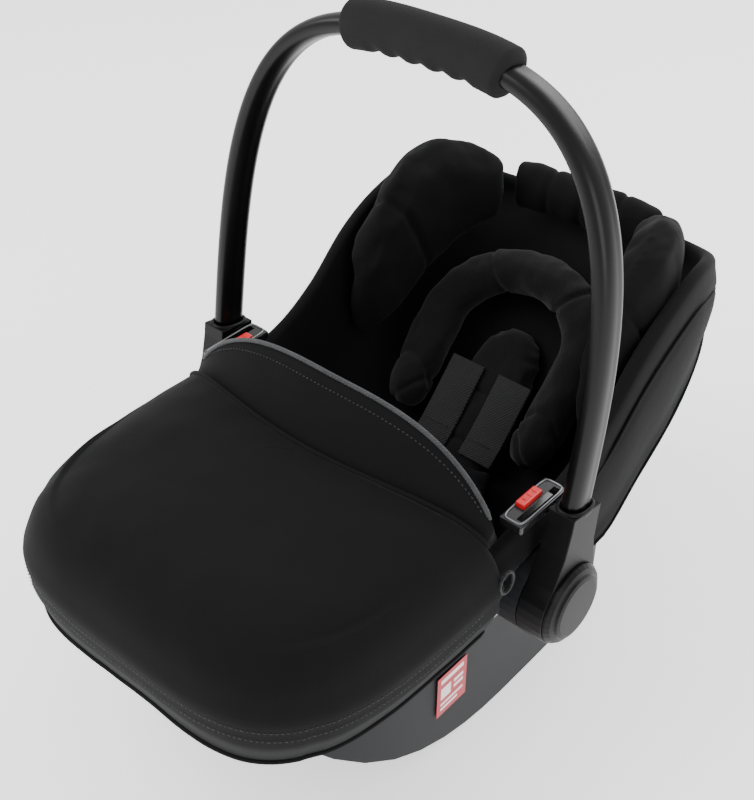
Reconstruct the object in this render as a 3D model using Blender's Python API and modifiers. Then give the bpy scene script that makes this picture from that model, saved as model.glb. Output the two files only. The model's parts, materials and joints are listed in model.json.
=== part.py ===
"""Infant car seat: bucket shell on a rocker base, carrying handle, fabric cover, harness and foot muff.

Metres, +Z up. +Y points to the head end, -Y to the feet, X is across. The handle turns about an X axis.
The seat is laid out from the handle axis (y = 0), then moved so the origin is under its middle, on the floor.
"""

import math

import bmesh
import bpy
from mathutils import Matrix, Vector

# ---- Driving dimensions -------------------------------------------------------------------------------
GAP = 0.0004                     # between pieces that touch
# Bucket shell: plan of the rim, wall and height lines (y from the handle axis, z from the floor)
RIM_HALF_WIDTH = 0.170
RIM_MIDDLE_Y = 0.040
RIM_TO_FOOT = 0.300
RIM_TO_HEAD = 0.316
FOOT_POWER = 3.2                 # squareness of the plan's foot end, head end and of the wall
HEAD_POWER = 4.1
WALL_POWER = 2.9
SHELL_WALL = 0.004
SHELL_FIT = 0.0015               # room left round the shell by what is shaped to it
RIM_LINE = ((-0.26, 0.183), (-0.15, 0.202), (-0.04, 0.227), (0.05, 0.241), (0.10, 0.268),
            (0.145, 0.308), (0.19, 0.333), (0.24, 0.345), (0.29, 0.333), (0.352, 0.302))
FLOOR_LINE = ((-0.26, 0.165), (-0.20, 0.112), (-0.10, 0.076), (0.0, 0.060), (0.08, 0.074),
              (0.15, 0.118), (0.22, 0.184), (0.29, 0.245), (0.352, 0.272))
# Cover: liner inside the shell, roll over the rim and skirt outside
COVER_THICKNESS = 0.004
LINER_GAP = 0.0021
PAD_CLEARANCE = 0.0045
RIM_ROLL = 0.0125
SKIRT_LINE = ((-0.26, 0.168), (-0.12, 0.205), (-0.06, 0.206), (0.02, 0.162), (0.112, 0.137),
              (0.166, 0.173), (0.229, 0.208), (0.277, 0.237), (0.313, 0.252), (0.352, 0.258))
# Rocker base
BASE_INSET = 0.0205              # of the base inside the rim
BASE_WALL = 0.0035
BASE_FRONT_Y = -0.236
BASE_REAR_Y = 0.228
BASE_MIDDLE_Y = 0.020
BASE_POWER = 4.2
FLAT_FRONT_Y = 0.010
FLAT_REAR_Y = 0.135
ROCKER_RADIUS_FRONT = 0.300
ROCKER_RADIUS_REAR = 0.160
RAIL_WIDTH = 0.020
# Handle
HUB_Z = 0.168
HUB_RADIUS = 0.039
HANDLE_REACH = 0.029             # of the handle outside the rim
HANDLE_TOP = 0.412               # grip centre above the hub axis
HANDLE_BEND_START = 0.092
HANDLE_TILT = math.radians(8.8)  # towards the head end
HANDLE_POWER = 3.17
TUBE_WIDTH = 0.030
TUBE_THICKNESS = 0.018
TUBE_POWER = 2.5                 # of the tube's oval section
SOCKET_TOP = 0.092
SOCKET_THICKNESS = 0.025
GRIP_HALF_LENGTH = 0.079
GRIP_RADIUS = 0.020
GRIP_ROUNDING = 0.004
PIN_RADIUS = 0.006
PIN_SINK = 0.001                 # of the pin inside the rim
HUB_SINK = 0.020                 # of the fixed hub inside the rim
HUB_ROOM = 0.008                 # round the hub in the cover's skirt
HUB_NECK = 0.0125                # half height of the button housing
HUB_NECK_Y = 0.043
COLLAR_HALF = 0.0195             # half width of the handle's collar and arm
COLLAR_LENGTH = 0.012
ARM_HALF = 0.0215
ARM_MIDDLE = 0.055
CUT_MARGIN = 0.030               # that a cutter runs past what it cuts
CAP_DEPTH = 0.010
# Buttons
RELEASE_RADIUS = 0.018
RELEASE_THICKNESS = 0.008
RELEASE_CLEARANCE = 0.0006       # between the button and the cover's skirt
RELEASE_STEM = 0.0075            # half height of the stem
RELEASE_GAP = 0.0075             # of the pressed button behind the hub
POCKET_CLEARANCE = 0.001
POCKET_END = 0.060
RELEASE_STEM_Y = 0.022
SPRING_SEAT_Y = 0.012
RELEASE_TRAVEL = 0.006
GUIDE_LENGTH = 0.064
GUIDE_WIDTH = 0.023
GUIDE_HEIGHT = 0.009
GUIDE_SLOT = 0.0075
GUIDE_OVERHANG = 0.001           # of the guide's middle outside the rim
GUIDE_Y = -0.003
BELT_BUTTON_LENGTH = 0.026
BELT_BUTTON_WIDTH = 0.0105
BELT_BUTTON_TRAVEL = 0.003
# Foot muff
MUFF_OVERHANG = 0.015            # of the muff outside the rim
MUFF_FRONT_Y = -0.303
MUFF_BACK_Y = -0.096
MUFF_BACK_SWEEP = 0.038
MUFF_CROWN = 0.281
MUFF_THICKNESS = 0.007
MUFF_POWER = 4.2
MUFF_PLAN_POWER = 3.8
MUFF_HEM_SIDE = 0.158
MUFF_HEM_FRONT = 0.164
FLAP_HEIGHT = 0.052
FLAP_LEAN = 0.038
FLAP_THICKNESS = 0.008
# Harness
WEB_WIDTH = 0.038
WEB_THICKNESS = 0.002
PAD_WIDTH = 0.056
PAD_THICKNESS = 0.012
BUCKLE_Y = -0.034
BUTTON_TRAVEL = 0.003
ADJUSTER_Y = -0.150
# Cushions
INSERT_THICKNESS = 0.022
ROLL_HALF_WIDTH = 0.084
ROLL_START_Y = 0.150
ROLL_BEND_Y = 0.220
ROLL_TOP = 0.054
ROLL_RADIUS = 0.025
WING_START = 20.0                # degrees round the rim's plan
WING_END = 57.0
WING_SHARE = 0.80                # of the way from the middle to the rim
WING_THICKNESS = 0.034
WING_LIFT = 0.033
WING_LINE = ((0.08, 0.275), (0.12, 0.325), (0.16, 0.362), (0.20, 0.384), (0.235, 0.390), (0.26, 0.386),
             (0.29, 0.374), (0.33, 0.350))
HEAD_SHARE = 0.88
HEAD_CUSHION_TOP = 0.352
# Label on the base
LABEL_Y = -0.072
LABEL_Z = 0.078
# Sizes that follow from those above
BASE_HALF_WIDTH = RIM_HALF_WIDTH - BASE_INSET
HANDLE_HALF_WIDTH = RIM_HALF_WIDTH + HANDLE_REACH
HUB_INNER = RIM_HALF_WIDTH - HUB_SINK
SKIRT_X = RIM_HALF_WIDTH + 4 * GAP + COVER_THICKNESS
RELEASE_X = SKIRT_X + RELEASE_CLEARANCE + RELEASE_THICKNESS / 2
GUIDE_X = RIM_HALF_WIDTH + GUIDE_OVERHANG
MUFF_HALF_WIDTH = RIM_HALF_WIDTH + MUFF_OVERHANG
# Resolution
AROUND = 44
AROUND_BASE = 60
INWARDS = -1.0                   # side of an open surface that its wall grows to
RADIAL = 9


# ---- Scene, materials and basic shapes ----------------------------------------------------------------
def clear_scene():
    for thing in list(bpy.data.objects):
        bpy.data.objects.remove(thing, do_unlink=True)


def new_collection(name):
    made = bpy.data.collections.new(name)
    bpy.context.scene.collection.children.link(made)
    return made


def linear(value):
    return value / 12.92 if value <= 0.04045 else ((value + 0.055) / 1.055) ** 2.4


def new_material(name, colour, roughness, metallic=0.0):
    made = bpy.data.materials.new(name)
    made.use_nodes = True
    shader = made.node_tree.nodes["Principled BSDF"]
    rgb = [linear(int(colour[i:i + 2], 16) / 255) for i in (1, 3, 5)]
    shader.inputs["Base Color"].default_value = (*rgb, 1.0)
    shader.inputs["Roughness"].default_value = roughness
    shader.inputs["Metallic"].default_value = metallic
    made.diffuse_color = (*rgb, 1.0)
    return made


def add_object(name, data, look, smooth=True):
    made = bpy.data.objects.new(name, data)
    PARTS.objects.link(made)
    data.materials.append(look)
    if smooth and isinstance(data, bpy.types.Mesh):
        data.shade_smooth()
        data.set_sharp_from_angle(angle=math.radians(40))
    return made


def as_cutter(thing):
    PARTS.objects.unlink(thing)
    CUTTERS.objects.link(thing)
    thing.hide_render = True
    thing.display_type = "WIRE"
    return thing


def cut(thing, cutter):
    step = thing.modifiers.new("cut " + cutter.name, "BOOLEAN")
    step.object = cutter
    step.operation = "DIFFERENCE"


def bevel(thing, width, segments=2):
    step = thing.modifiers.new("rounded edges", "BEVEL")
    step.width = width
    step.segments = segments
    step.angle_limit = math.radians(40)


def solidify(thing, thickness, offset=1.0):
    step = thing.modifiers.new("wall", "SOLIDIFY")
    step.thickness = thickness
    step.offset = offset


def mesh_from(name, points, faces):
    data = bpy.data.meshes.new(name)
    data.from_pydata([tuple(point) for point in points], [], faces)
    data.update()
    return data


def box(name, low, high, look, radius=0.0):
    """A box between two corners, its edges rounded by radius."""
    size = Vector(high) - Vector(low)
    shape = bmesh.new()
    bmesh.ops.create_cube(shape, size=1.0, matrix=Matrix.Diagonal((*size, 1.0)))
    data = bpy.data.meshes.new(name)
    shape.to_mesh(data)
    shape.free()
    made = add_object(name, data, look, smooth=False)
    made.location = (Vector(high) + Vector(low)) / 2
    if radius:
        bevel(made, radius)
    return made


def cylinder_x(name, radius, x_from, x_to, y, z, look, segments=32):
    """A round bar along X."""
    turned = Matrix.Rotation(math.pi / 2, 4, "Y")
    shape = bmesh.new()
    bmesh.ops.create_cone(shape, cap_ends=True, segments=segments, radius1=radius, radius2=radius,
                          depth=abs(x_to - x_from), matrix=turned)
    data = bpy.data.meshes.new(name)
    shape.to_mesh(data)
    shape.free()
    made = add_object(name, data, look)
    made.location = ((x_from + x_to) / 2, y, z)
    return made


def plate(name, outline, thickness, look, radius=0.0):
    """A flat outline in its own XY plane, with the thickness centred on it."""
    curve = bpy.data.curves.new(name, "CURVE")
    curve.dimensions = "2D"
    curve.fill_mode = "BOTH"
    curve.extrude = thickness / 2
    spline = curve.splines.new("POLY")
    spline.points.add(len(outline) - 1)
    for point, place in zip(spline.points, outline):
        point.co = (place[0], place[1], 0.0, 1.0)
    spline.use_cyclic_u = True
    return as_mesh(name, curve, look, radius)


def as_mesh(name, curve, look, radius=0.0):
    """The mesh of a curve, with its caps welded, ready for Bevel and Boolean modifiers."""
    holder = bpy.data.objects.new(name + " curve", curve)
    PARTS.objects.link(holder)
    graph = bpy.context.evaluated_depsgraph_get()
    data = bpy.data.meshes.new_from_object(holder.evaluated_get(graph))
    bpy.data.objects.remove(holder)
    shape = bmesh.new()
    shape.from_mesh(data)
    bmesh.ops.remove_doubles(shape, verts=shape.verts, dist=1e-6)
    bmesh.ops.recalc_face_normals(shape, faces=shape.faces)
    shape.to_mesh(data)
    shape.free()
    made = add_object(name, data, look)
    if radius:
        bevel(made, radius)
    return made


def turned_x(name, profile, x, side, y, z, look, segments=32):
    """A piece turned about an X axis: profile is (distance along the axis, radius) from outer end to inner."""
    data = bpy.data.meshes.new(name)
    data.from_pydata([(radius, 0.0, along) for along, radius in profile], [],
                     [(i, i + 1) for i in range(len(profile) - 1)])
    made = add_object(name, data, look, smooth=False)
    step = made.modifiers.new("turned", "SCREW")
    step.axis = "Z"
    step.steps = segments
    step.render_steps = segments
    step.use_merge_vertices = True
    step.merge_threshold = 1e-5
    step.use_normal_flip = True
    made.rotation_euler = (0.0, side * math.pi / 2, 0.0)
    made.location = (x, y, z)
    return made


def loft(rings, closed=True, caps=True):
    """Faces between rings of equal length; closed joins each ring's ends, caps closes the first and last."""
    count = len(rings[0])
    points = [point for ring in rings for point in ring]
    faces = []
    for row in range(len(rings) - 1):
        for i in range(count if closed else count - 1):
            j = (i + 1) % count
            faces.append((row * count + i, row * count + j, (row + 1) * count + j, (row + 1) * count + i))
    if caps:
        faces.append(tuple(reversed(range(count))))
        faces.append(tuple(range((len(rings) - 1) * count, len(rings) * count)))
    return points, faces


def outward(data):
    """Turns the faces of a closed mesh outwards."""
    shape = bmesh.new()
    shape.from_mesh(data)
    bmesh.ops.recalc_face_normals(shape, faces=shape.faces)
    shape.to_mesh(data)
    shape.free()
    return data


# ---- Lines and the bucket surface ---------------------------------------------------------------------
def on_line(line, y):
    """Height of a smooth line through (y, z) points, level past its ends."""
    if y <= line[0][0]:
        return line[0][1]
    if y >= line[-1][0]:
        return line[-1][1]
    i = max(k for k in range(len(line) - 1) if line[k][0] <= y)
    (y0, z0), (y1, z1) = line[i], line[i + 1]
    before = line[i - 1] if i else line[0]
    after = line[i + 2] if i + 2 < len(line) else line[-1]
    slope0 = (z1 - before[1]) / (y1 - before[0])
    slope1 = (after[1] - z0) / (after[0] - y0)
    t = (y - y0) / (y1 - y0)
    width = y1 - y0
    return ((2 * t**3 - 3 * t**2 + 1) * z0 + (t**3 - 2 * t**2 + t) * width * slope0
            + (3 * t**2 - 2 * t**3) * z1 + (t**3 - t**2) * width * slope1)


def signed_power(value, power):
    return math.copysign(abs(value) ** power, value)


def plan_point(turn, grow=0.0):
    """A point of the rim's plan: turn 0 is +X, a quarter turn is the head end. grow widens the plan."""
    power, reach = (HEAD_POWER, RIM_TO_HEAD) if math.sin(turn) > 0 else (FOOT_POWER, RIM_TO_FOOT)
    across = signed_power(math.cos(turn), 2 / power) * (RIM_HALF_WIDTH + grow)
    along = signed_power(math.sin(turn), 2 / power)
    return across, RIM_MIDDLE_Y + along * (reach + grow)


def bucket_height(x, y):
    """Height of the shell's outer surface over a point of its plan."""
    power, reach = (HEAD_POWER, RIM_TO_HEAD) if y > RIM_MIDDLE_Y else (FOOT_POWER, RIM_TO_FOOT)
    share = (abs(x / RIM_HALF_WIDTH) ** power + abs((y - RIM_MIDDLE_Y) / reach) ** power) ** (1 / power)
    share = min(max(share, 1e-6), 1.0)
    tilt = math.asin(min(share ** (WALL_POWER / 2), 1.0))
    rise = 1 - max(math.cos(tilt), 0.0) ** (2 / WALL_POWER)
    rim_y = RIM_MIDDLE_Y + (y - RIM_MIDDLE_Y) / share
    return on_line(FLOOR_LINE, y) * (1 - rise) + on_line(RIM_LINE, rim_y) * rise


def bucket_point(turn, tilt, inset=0.0):
    """A point of the bucket: tilt 0 is the floor's middle and a quarter turn the rim; inset moves it inwards."""
    def place(turn_at, tilt_at):
        out = math.sin(tilt_at) ** (2 / WALL_POWER)
        rise = 1 - max(math.cos(tilt_at), 0.0) ** (2 / WALL_POWER)
        x, y = plan_point(turn_at)
        height = on_line(FLOOR_LINE, RIM_MIDDLE_Y + out * (y - RIM_MIDDLE_Y)) * (1 - rise)
        return Vector((out * x, RIM_MIDDLE_Y + out * (y - RIM_MIDDLE_Y), height + on_line(RIM_LINE, y) * rise))
    here = place(turn, tilt)
    if not inset:
        return here
    small = 0.02
    tilt = min(max(tilt, 2 * small), math.pi / 2 - 2 * small)
    normal = (place(turn, tilt + small) - place(turn, tilt - small)).cross(
        place(turn + small, tilt) - place(turn - small, tilt)).normalized()
    return here + inset * normal


def draped(x, y, inset):
    """The point of the bucket over (x, y), moved inwards along the surface's normal."""
    small = 0.003
    slope_x = (bucket_height(x + small, y) - bucket_height(x - small, y)) / (2 * small)
    slope_y = (bucket_height(x, y + small) - bucket_height(x, y - small)) / (2 * small)
    normal = Vector((-slope_x, -slope_y, 1.0)).normalized()
    return Vector((x, y, bucket_height(x, y))) + inset * normal


def spread(direction, power):
    """The turn of a squared ellipse whose point lies in this direction, so that points spread evenly."""
    return math.atan2(signed_power(math.sin(direction), power / 2), signed_power(math.cos(direction), power / 2))


def turns():
    directions = [2 * math.pi * (i + 0.5) / AROUND for i in range(AROUND)]
    return [spread(way, HEAD_POWER if math.sin(way) > 0 else FOOT_POWER) for way in directions]


def bucket_rings(inset, tilts):
    return [[bucket_point(turn, tilt, inset) for turn in turns()] for tilt in tilts]


def bucket_tilts():
    """Tilts whose rings lie evenly over the floor and closer together up the wall."""
    shares = [math.sin(math.pi / 2 * (i + 0.5) / (RADIAL - 0.5)) for i in range(RADIAL)]
    return [math.asin(min(share, 1.0) ** (WALL_POWER / 2)) for share in shares]


def with_middle(rings):
    """Points and faces of nested rings, with the innermost closed by one face."""
    points, faces = loft(rings, caps=False)
    faces.append(tuple(reversed(range(len(rings[0])))))
    return points, faces


# ---- Shell, cover and base ----------------------------------------------------------------------------
def seat_shell():
    rings = bucket_rings(0.0, bucket_tilts())
    made = add_object("seat_shell", mesh_from("seat_shell", *with_middle(rings)), PLASTIC)
    solidify(made, SHELL_WALL, INWARDS)
    return made


def shell_cutter():
    """The room of the shell and all inside it, for pieces that fit against its outside."""
    rings = bucket_rings(-SHELL_FIT, bucket_tilts())
    rings.append([point + Vector((0, 0, 0.2)) for point in rings[-1]])
    points, faces = with_middle(rings)
    faces.append(tuple(range(len(points) - AROUND, len(points))))
    data = outward(mesh_from("shell room", points, faces))
    return as_cutter(add_object("shell room", data, PLASTIC))


def hub_cutter(side):
    """The room that the handle hub takes from the cover's skirt."""
    return through_hub("hub room " + NAMES[side], side, HUB_RADIUS + HUB_ROOM)


def through_hub(name, side, radius):
    """A round cutter along the handle's axis, from inside the rim to past the cap."""
    return as_cutter(cylinder_x(name, radius, side * (RIM_HALF_WIDTH - CUT_MARGIN),
                                side * (HANDLE_HALF_WIDTH + CUT_MARGIN), 0.0, HUB_Z, PLASTIC))


def seat_cover(hub_rooms):
    """Liner inside the shell, rolled over the rim and down outside as a skirt."""
    rings = bucket_rings(SHELL_WALL + LINER_GAP, bucket_tilts())
    rim = [bucket_point(turn, math.pi / 2) for turn in turns()]
    inner = rings[-1]
    lift = Vector((0, 0, LINER_GAP))
    rings[-1] = [Vector((p.x, p.y, r.z)) + lift for p, r in zip(inner, rim)]
    outer = [Vector((*plan_point(turn, 2 * GAP), point.z)) for turn, point in zip(turns(), rim)]
    rings.append([(a + b) / 2 + 1.5 * lift for a, b in zip(rings[-1], outer)])
    rings.append([point + lift for point in outer])
    hem = [on_line(SKIRT_LINE, point.y) for point in rim]
    rings.append([Vector((p.x, p.y, (p.z + z) / 2)) for p, z in zip(outer, hem)])
    rings.append([Vector((*plan_point(turn, 4 * GAP), z)) for turn, z in zip(turns(), hem)])
    made = add_object("seat_cover", mesh_from("seat_cover", *with_middle(rings)), FABRIC)
    solidify(made, COVER_THICKNESS, INWARDS)
    for room in hub_rooms:
        cut(made, room)
    return made


def rocker_height(y):
    """Height of the rails: flat under the seat, then an arc at each end."""
    if y < FLAT_FRONT_Y:
        away, radius = FLAT_FRONT_Y - y, ROCKER_RADIUS_FRONT
    elif y > FLAT_REAR_Y:
        away, radius = y - FLAT_REAR_Y, ROCKER_RADIUS_REAR
    else:
        return 0.0
    return radius - math.sqrt(radius**2 - min(away, 0.97 * radius) ** 2)


def base_plan(turn, inset):
    across = signed_power(math.cos(turn), 2 / BASE_POWER) * (BASE_HALF_WIDTH - inset)
    along = signed_power(math.sin(turn), 2 / BASE_POWER)
    reach = BASE_REAR_Y - BASE_MIDDLE_Y if along > 0 else BASE_MIDDLE_Y - BASE_FRONT_Y
    return across, BASE_MIDDLE_Y + along * (reach - inset)


def base_half_width(y):
    reach = BASE_REAR_Y - BASE_MIDDLE_Y if y > BASE_MIDDLE_Y else BASE_MIDDLE_Y - BASE_FRONT_Y
    return BASE_HALF_WIDTH * (1 - abs((y - BASE_MIDDLE_Y) / reach) ** BASE_POWER) ** (1 / BASE_POWER)


def rocker_base(room):
    """A band round the shell's lower part, turned inwards at its lower edge as a rail."""
    rings = []
    for inset, lift, share in ((0.001, 0.03, 1.0), (0.0, 0.0, 0.55), (0.0, 0.0, 0.0),
                               (RAIL_WIDTH, 0.0, 0.0), (RAIL_WIDTH, 0.010, 0.0)):
        ring = []
        for i in range(AROUND_BASE):
            turn = spread(2 * math.pi * (i + 0.5) / AROUND_BASE, BASE_POWER)
            x, y = base_plan(turn, inset)
            low = rocker_height(base_plan(turn, 0.0)[1])
            top = max(bucket_height(x, y), low + 0.02)
            ring.append(Vector((x, y, low + lift + share * (top - low))))
        rings.append(ring)
    points, faces = loft(rings, caps=False)
    made = add_object("rocker_base", mesh_from("rocker_base", points, faces), PLASTIC)
    solidify(made, BASE_WALL)
    cut(made, room)
    return made


def cross_bars():
    """Two bars across the base that latch on a stroller or a car base."""
    bars = []
    for name, y in (("latch_bar_front", FLAT_FRONT_Y - 0.05), ("latch_bar_rear", FLAT_REAR_Y + 0.01)):
        half = base_half_width(y + 0.006) - BASE_WALL - 4 * GAP
        bars.append(cylinder_x(name, 0.006, -half, half, y, rocker_height(y) + 0.022, STEEL, 16))
    return bars


# ---- Handle -------------------------------------------------------------------------------------------
def handle_path(count=28):
    """Centre line of the tube: straight up from each hub, then over as a flattened arch."""
    tilt = Matrix.Rotation(-HANDLE_TILT, 3, "X")
    lowest = SOCKET_TOP + GAP
    points = [Vector((HANDLE_HALF_WIDTH, 0.0, lowest))]
    for i in range(count + 1):
        turn = math.pi * i / count
        x = HANDLE_HALF_WIDTH * signed_power(math.cos(turn), 2 / HANDLE_POWER)
        z = HANDLE_BEND_START + (HANDLE_TOP - HANDLE_BEND_START) * math.sin(turn) ** (2 / HANDLE_POWER)
        if z > lowest + 0.01:
            points.append(Vector((x, 0.0, z)))
    points.append(Vector((-HANDLE_HALF_WIDTH, 0.0, lowest)))
    return [tilt @ point + Vector((0, 0, HUB_Z)) for point in points]


def handle_frames():
    """Each point of the tube's centre line with its sideways and fore-aft directions."""
    path = handle_path()
    fore = Matrix.Rotation(-HANDLE_TILT, 3, "X") @ Vector((0, 1, 0))
    frames = []
    for i, point in enumerate(path):
        way = (path[min(i + 1, len(path) - 1)] - path[max(i - 1, 0)]).normalized()
        frames.append((point, fore.cross(way).normalized(), fore))
    return frames


def section_at(frame, section):
    point, side, fore = frame
    return [point + a * side + b * fore for a, b in section]


def oval(half_a, half_b, count, power=2.0):
    return [(half_a * signed_power(math.cos(2 * math.pi * i / count), 2 / power),
             half_b * signed_power(math.sin(2 * math.pi * i / count), 2 / power)) for i in range(count)]


def handle_tube():
    section = oval(TUBE_THICKNESS / 2, TUBE_WIDTH / 2, 12, TUBE_POWER)
    rings = [section_at(frame, section) for frame in handle_frames()]
    return add_object("handle_tube", outward(mesh_from("handle_tube", *loft(rings))), TUBE)


def foam_grip():
    """A foam sleeve on the tube's top."""
    frames = [frame for frame in handle_frames() if abs(frame[0].x) <= GRIP_HALF_LENGTH]
    bore = oval(TUBE_THICKNESS / 2 + 3 * GAP, TUBE_WIDTH / 2 + 3 * GAP, 12, TUBE_POWER)
    last = len(frames) - 1
    rings = []
    for i, frame in enumerate(frames):
        full = GRIP_RADIUS - (GRIP_ROUNDING if i in (0, last) else 0.0)
        rings.append(section_at(frame, oval(full, full * 1.06, 12)))
    rings += [section_at(frame, bore) for frame in reversed(frames)]
    points, faces = loft(rings, caps=False)
    count = len(bore)
    start = (len(rings) - 1) * count
    faces += [(start + i, start + (i + 1) % count, (i + 1) % count, i) for i in range(count)]
    return add_object("foam_grip", outward(mesh_from("foam_grip", points, faces)), FOAM)


def handle_socket(side):
    """The moulded lower end of the handle: a disc on the hub and an arm up to the tube's collar."""
    name = "handle_socket_" + NAMES[side]
    outline = [(HUB_RADIUS * math.cos(math.radians(a)), HUB_RADIUS * math.sin(math.radians(a)))
               for a in range(140, 401, 12)]
    outline += [(ARM_HALF, ARM_MIDDLE), (COLLAR_HALF, SOCKET_TOP - COLLAR_LENGTH), (COLLAR_HALF, SOCKET_TOP),
                (-COLLAR_HALF, SOCKET_TOP), (-COLLAR_HALF, SOCKET_TOP - COLLAR_LENGTH), (-ARM_HALF, ARM_MIDDLE)]
    made = plate(name, outline, SOCKET_THICKNESS, PLASTIC, 0.003)
    made.matrix_world = (Matrix.Translation((side * HANDLE_HALF_WIDTH, 0.0, HUB_Z))
                         @ Matrix.Rotation(-HANDLE_TILT, 4, "X") @ AXES_YZ)
    cut(made, through_hub("pin room " + NAMES[side], side, PIN_RADIUS + GAP))
    return made


def hub_x():
    """Where the fixed hub ends and the handle's socket starts."""
    return HANDLE_HALF_WIDTH - SOCKET_THICKNESS / 2


def hub_base(side, room):
    """The fixed hub: a disc and, behind it, the housing of the release button."""
    name = "hub_base_" + NAMES[side]
    outline = [(HUB_RADIUS * math.cos(math.radians(a)), HUB_RADIUS * math.sin(math.radians(a)))
               for a in range(30, 331, 12)]
    outline += [(HUB_NECK_Y, -HUB_NECK), (HUB_NECK_Y, HUB_NECK)]
    outer = hub_x() - GAP
    made = plate(name, outline, outer - HUB_INNER, PLASTIC)
    made.matrix_world = Matrix.Translation((side * (HUB_INNER + outer) / 2, 0.0, HUB_Z)) @ AXES_YZ
    cut(made, room)
    cut(made, through_hub("pin bore " + NAMES[side], side, PIN_RADIUS + GAP))
    half = RELEASE_THICKNESS / 2 + GAP
    tall = RELEASE_STEM + POCKET_CLEARANCE
    pocket = box("release pocket " + NAMES[side], (side * RELEASE_X - half, SPRING_SEAT_Y, HUB_Z - tall),
                 (side * RELEASE_X + half, POCKET_END, HUB_Z + tall), PLASTIC)
    cut(made, as_cutter(pocket))
    return made


def release_button(side):
    """Half-round button behind the hub with a stem in the hub's pocket; pressed, it frees the handle."""
    name = "release_button_" + NAMES[side]
    face = HUB_RADIUS + RELEASE_TRAVEL + RELEASE_GAP
    outline = [(face + RELEASE_RADIUS * math.cos(math.radians(a)), RELEASE_RADIUS * math.sin(math.radians(a)))
               for a in range(-90, 91, 12)]
    outline += [(face, RELEASE_STEM), (RELEASE_STEM_Y, RELEASE_STEM), (RELEASE_STEM_Y, -RELEASE_STEM),
                (face, -RELEASE_STEM)]
    made = plate(name, outline, RELEASE_THICKNESS, RED, 0.0008)
    made.matrix_world = Matrix.Translation((side * RELEASE_X, 0.0, HUB_Z)) @ AXES_YZ
    return made


def release_spring(side):
    """The coil in the hub's pocket that pushes the button back out."""
    turns_of_wire, steps = 4, 9
    start, end = SPRING_SEAT_Y + GAP, RELEASE_STEM_Y - GAP
    wire, radius = 0.0006, 0.0030
    curve = bpy.data.curves.new("release_spring", "CURVE")
    curve.dimensions = "3D"
    curve.bevel_depth = wire
    curve.bevel_resolution = 0
    curve.use_fill_caps = True
    spline = curve.splines.new("POLY")
    count = turns_of_wire * steps
    spline.points.add(count)
    for i, point in enumerate(spline.points):
        turn = 2 * math.pi * i / steps
        along = start + wire + (end - start - 2 * wire) * i / count
        point.co = (side * RELEASE_X + radius * math.cos(turn), along, HUB_Z + radius * math.sin(turn), 1.0)
    return as_mesh("release_spring_" + NAMES[side], curve, STEEL)


def pivot_pin(side):
    outer = HANDLE_HALF_WIDTH + SOCKET_THICKNESS / 2 - 0.002
    return cylinder_x("pivot_pin_" + NAMES[side], PIN_RADIUS, side * (RIM_HALF_WIDTH - PIN_SINK),
                      side * outer, 0.0, HUB_Z, STEEL, 20)


def hub_cap(side):
    start = HANDLE_HALF_WIDTH + SOCKET_THICKNESS / 2 + GAP
    rim = HUB_RADIUS - 0.0015
    profile = [(CAP_DEPTH, 0.0), (CAP_DEPTH, rim - 0.0115), (CAP_DEPTH - 0.001, rim - 0.008),
               (CAP_DEPTH - 0.003, rim - 0.007), (CAP_DEPTH - 0.0045, rim - 0.0025), (0.002, rim),
               (0.0, rim), (0.0, 0.0)]
    return turned_x("hub_cap_" + NAMES[side], profile, side * start, side, 0.0, HUB_Z, PLASTIC, 36)


# ---- Belt guides, foot muff and flap ------------------------------------------------------------------
def belt_guide(side):
    """A frame on the rim with a slot for the car's lap belt and a well for its red button."""
    name = "belt_guide_" + NAMES[side]
    low = (-GUIDE_LENGTH / 2, -GUIDE_WIDTH / 2, -GUIDE_HEIGHT / 2)
    made = box(name, low, tuple(-value for value in low), BLACK, 0.002)
    place = guide_place(side)
    made.matrix_world = place
    slot = box("belt slot " + NAMES[side], (-0.026, 0.0015, -0.02), (0.026, 0.0015 + GUIDE_SLOT, 0.02), BLACK)
    well = box("button well " + NAMES[side],
               (-BELT_BUTTON_LENGTH / 2 - GAP, -0.0095 - GAP, -0.001),
               (BELT_BUTTON_LENGTH / 2 + GAP, -0.0095 + BELT_BUTTON_WIDTH + GAP - 0.0015, 0.02), BLACK)
    for cutter in (slot, well):
        cutter.matrix_world = place @ Matrix.Translation(cutter.location)
        cut(made, as_cutter(cutter))
    return made


def guide_place(side):
    """The guide's middle on the rim: its local X runs along the rim and its local Y outwards."""
    turn = Matrix(((0, side, 0, 0), (1, 0, 0, 0), (0, 0, 1, 0), (0, 0, 0, 1)))
    height = on_line(RIM_LINE, GUIDE_Y + GUIDE_LENGTH / 2) + RIM_ROLL + GUIDE_HEIGHT / 2
    return Matrix.Translation((side * GUIDE_X, GUIDE_Y, height)) @ turn


def belt_button(side):
    place = guide_place(side)
    made = box("belt_button_" + NAMES[side], (-BELT_BUTTON_LENGTH / 2, -0.0095, -0.001 + BELT_BUTTON_TRAVEL + GAP),
               (BELT_BUTTON_LENGTH / 2, -0.0095 + BELT_BUTTON_WIDTH - 0.0015, 0.0085), RED, 0.0012)
    made.matrix_world = place @ Matrix.Translation(made.location)
    return made


def muff_back(x):
    return MUFF_BACK_Y + MUFF_BACK_SWEEP * (x / MUFF_HALF_WIDTH) ** 2


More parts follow.
